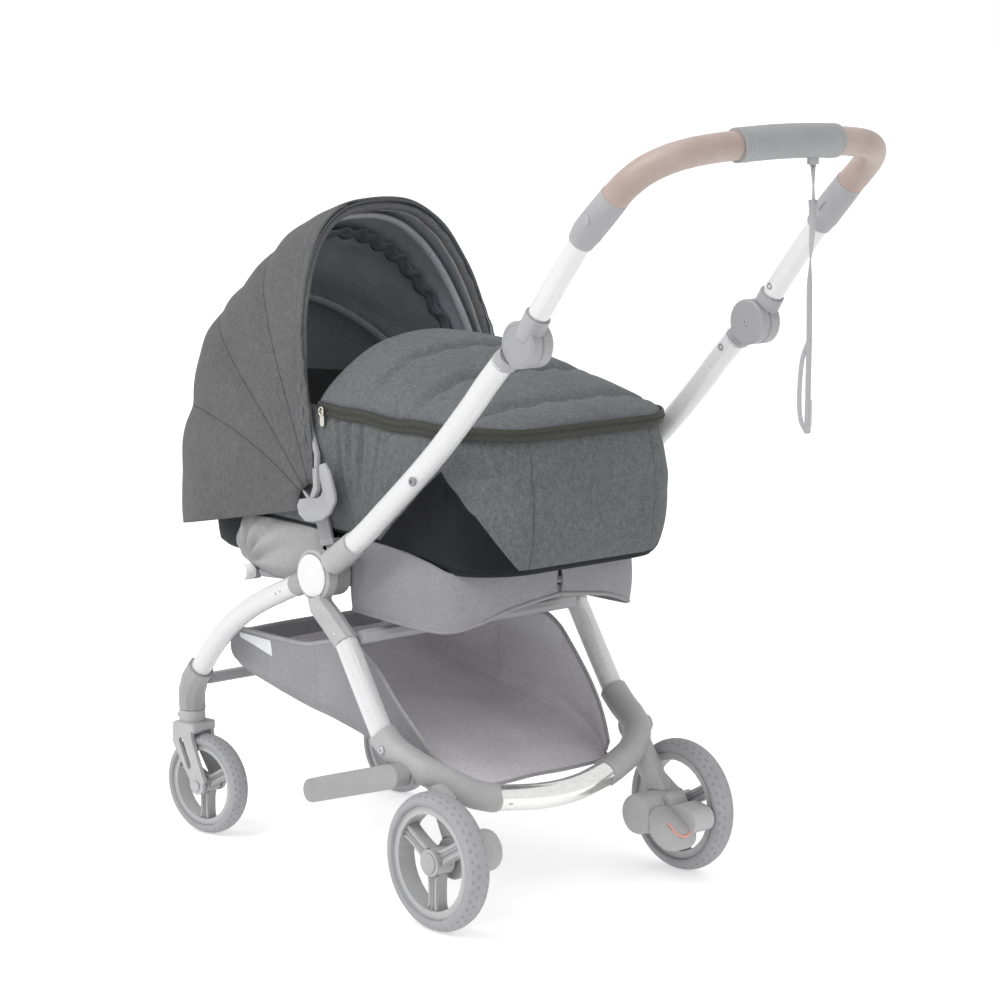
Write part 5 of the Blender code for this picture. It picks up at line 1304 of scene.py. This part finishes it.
# bent arm cover on each side of the hood's rim
ARM = ((0.067, 0.563), (0.076, 0.566), (0.086, 0.556), (0.098, 0.528), (0.099, 0.518), (0.088, 0.500), (0.072, 0.489), (0.052, 0.484), (0.034, 0.483), (0.021, 0.490), (0.017, 0.501), (0.022, 0.511), (0.036, 0.514), (0.060, 0.516), (0.071, 0.522), (0.075, 0.530), (0.068, 0.548))
for s, side in SIDES:
    verts = []
    shift = Vector((0, -0.002, 0.0))
    for x, inset in ((0.1866, 0.0), (0.1896, 0.0), (0.1912, 0.0016)):
        mid = Vector((0, sum(q[0] for q in ARM) / len(ARM), sum(q[1] for q in ARM) / len(ARM)))
        for y, z in ARM:
            q = Vector((0, y, z))
            q = q + (mid - q).normalized() * inset
            verts.append(at(s * x, q.y, q.z) + shift)
    m = len(ARM)
    faces = [(j * m + k, j * m + (k + 1) % m, (j + 1) * m + (k + 1) % m, (j + 1) * m + k) for j in range(2) for k in range(m)]
    faces += [tuple(range(m)), tuple(2 * m + k for k in range(m))]
    plate = crisp(outward(new_object(f"hood_arm_cover_{side}", verts, faces, GREY)), 30)
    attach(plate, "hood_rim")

# pull ring at the end of the zip
ring_pts = [at(0.1715, 0.0440 + 0.0046 * math.cos(2 * math.pi * k / 24), 0.6295 + 0.0056 * math.sin(2 * math.pi * k / 24)) for k in range(24)]
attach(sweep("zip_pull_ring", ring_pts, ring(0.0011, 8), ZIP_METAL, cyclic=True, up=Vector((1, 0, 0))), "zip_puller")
# slot in the sleeve between its two screws, drawn as a dark strip: painted shade inside the slot
for s, side in SIDES:
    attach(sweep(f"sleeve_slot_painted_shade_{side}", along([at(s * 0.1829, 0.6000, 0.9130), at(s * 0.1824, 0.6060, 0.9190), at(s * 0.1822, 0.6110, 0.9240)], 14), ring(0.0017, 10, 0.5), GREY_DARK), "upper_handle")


# tyres: turned at high resolution with moulded dimples on the shoulders
def tyre_piece(name, node, radius, half, centre, axis, body):
    inner = radius * 0.815 + 0.0003
    prof = []
    for k in range(25):
        t = math.pi * k / 24
        x = half * 0.99 * math.cos(t)
        r_ = inner + (radius - inner) * math.sin(t) ** 0.62
        prof.append((x, min(r_, radius - 0.0001)))
    turn_ = math.atan2(axis[1], axis[0])
    obj = lathe(name, prof, centre, axis, dimpled(name + "_rubber", Vector(centre), turn_, half, radius), 180)
    ax = Vector(axis).normalized()
    u = ax.orthogonal().normalized()
    w = ax.cross(u)
    for v in obj.data.vertices:
        d = v.co - centre
        x = d.dot(ax)
        radial = d - ax * x
        r_ = radial.length
        ang = math.atan2(radial.dot(w), radial.dot(u))
        if r_ > inner + (radius - inner) * 0.62:
            lane = bell(abs(x) - half * 0.60, half * 0.30)
            hole = 0.5
            v.co -= radial.normalized() * 0.0008 * lane * hole
    obj.data.update()
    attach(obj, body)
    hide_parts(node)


for s, side in SIDES:
    tyre_piece(f"rear_tyre_foam_{side}", f"rear_tyre_{side}", 0.090, 0.017, at(s * 0.2158, 0.3382, 0.09), (1, 0, 0), f"rear_wheel_{side}")
    turn = math.radians(8.7) if s > 0 else 0.0
    centre = at(s * 0.175 - math.sin(turn) * 0.030, -0.2505 + math.cos(turn) * 0.030, 0.071)
    tyre_piece(f"front_tyre_foam_{side}", f"front_tyre_{side}", 0.071, 0.015, centre, (math.cos(turn), math.sin(turn), 0), f"front_wheel_{side}")

# raised ribs and a groove on both faces of every spoke; the groove is a dark strip, painted shade in the groove
def spoke_ribs(name, centre, turn, half, radius, hub_r, body):
    axis = Vector((math.cos(turn), math.sin(turn), 0))
    fore = Vector((-math.sin(turn), math.cos(turn), 0))
    verts, faces, idx = [], [], []
    for face_ in (-1, 1):
        for k in range(3):
            a_ = math.radians(-90 + 120 * k)
            d = fore * math.cos(a_) + Vector((0, 0, 1)) * math.sin(a_)
            e_ = axis.cross(d)
            for off, r_, lift, which in ((-0.068, 0.0021, 0.0004, 0), (0.068, 0.0021, 0.0004, 0), (0.0, 0.0016, -0.0006, 1)):
                base = len(verts)
                for j in range(9):
                    q = j / 8
                    reach = hub_r * 0.9 + (radius * 0.705 - hub_r * 0.9) * q
                    flare = 1.0 + 0.5 * (2 * q - 1) ** 4
                    mid = centre + axis * (face_ * (half * 0.425 + lift)) + d * reach + e_ * (off * radius * flare)
                    for i in range(8):
                        b_ = 2 * math.pi * i / 8
                        verts.append(mid + axis * (r_ * math.cos(b_)) + e_ * (r_ * math.sin(b_)))
                for j in range(8):
                    for i in range(8):
                        faces.append((base + j * 8 + i, base + j * 8 + (i + 1) % 8, base + (j + 1) * 8 + (i + 1) % 8, base + (j + 1) * 8 + i))
                        idx.append(which)
                faces += [tuple(base + i for i in range(8)), tuple(base + 64 + i for i in reversed(range(8)))]
                idx += [which, which]
    # painted shade: the groove strips take the dark moulding, as if shaded in the groove
    obj = outward(new_object(name, verts, faces, [GREY_RIM, GREY_DARK]))
    for poly, which in zip(obj.data.polygons, idx):
        poly.material_index = which
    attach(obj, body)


for s, side in SIDES:
    spoke_ribs(f"rear_spoke_ribs_{side}", at(s * 0.2158, 0.3382, 0.09), 0.0, 0.017, 0.090, 0.0175, f"rear_wheel_{side}")
    turn = math.radians(8.7) if s > 0 else 0.0
    spoke_ribs(f"front_spoke_ribs_{side}", at(s * 0.175 - math.sin(turn) * 0.030, -0.2505 + math.cos(turn) * 0.030, 0.071), turn, 0.015, 0.071, 0.0120, f"front_wheel_{side}")
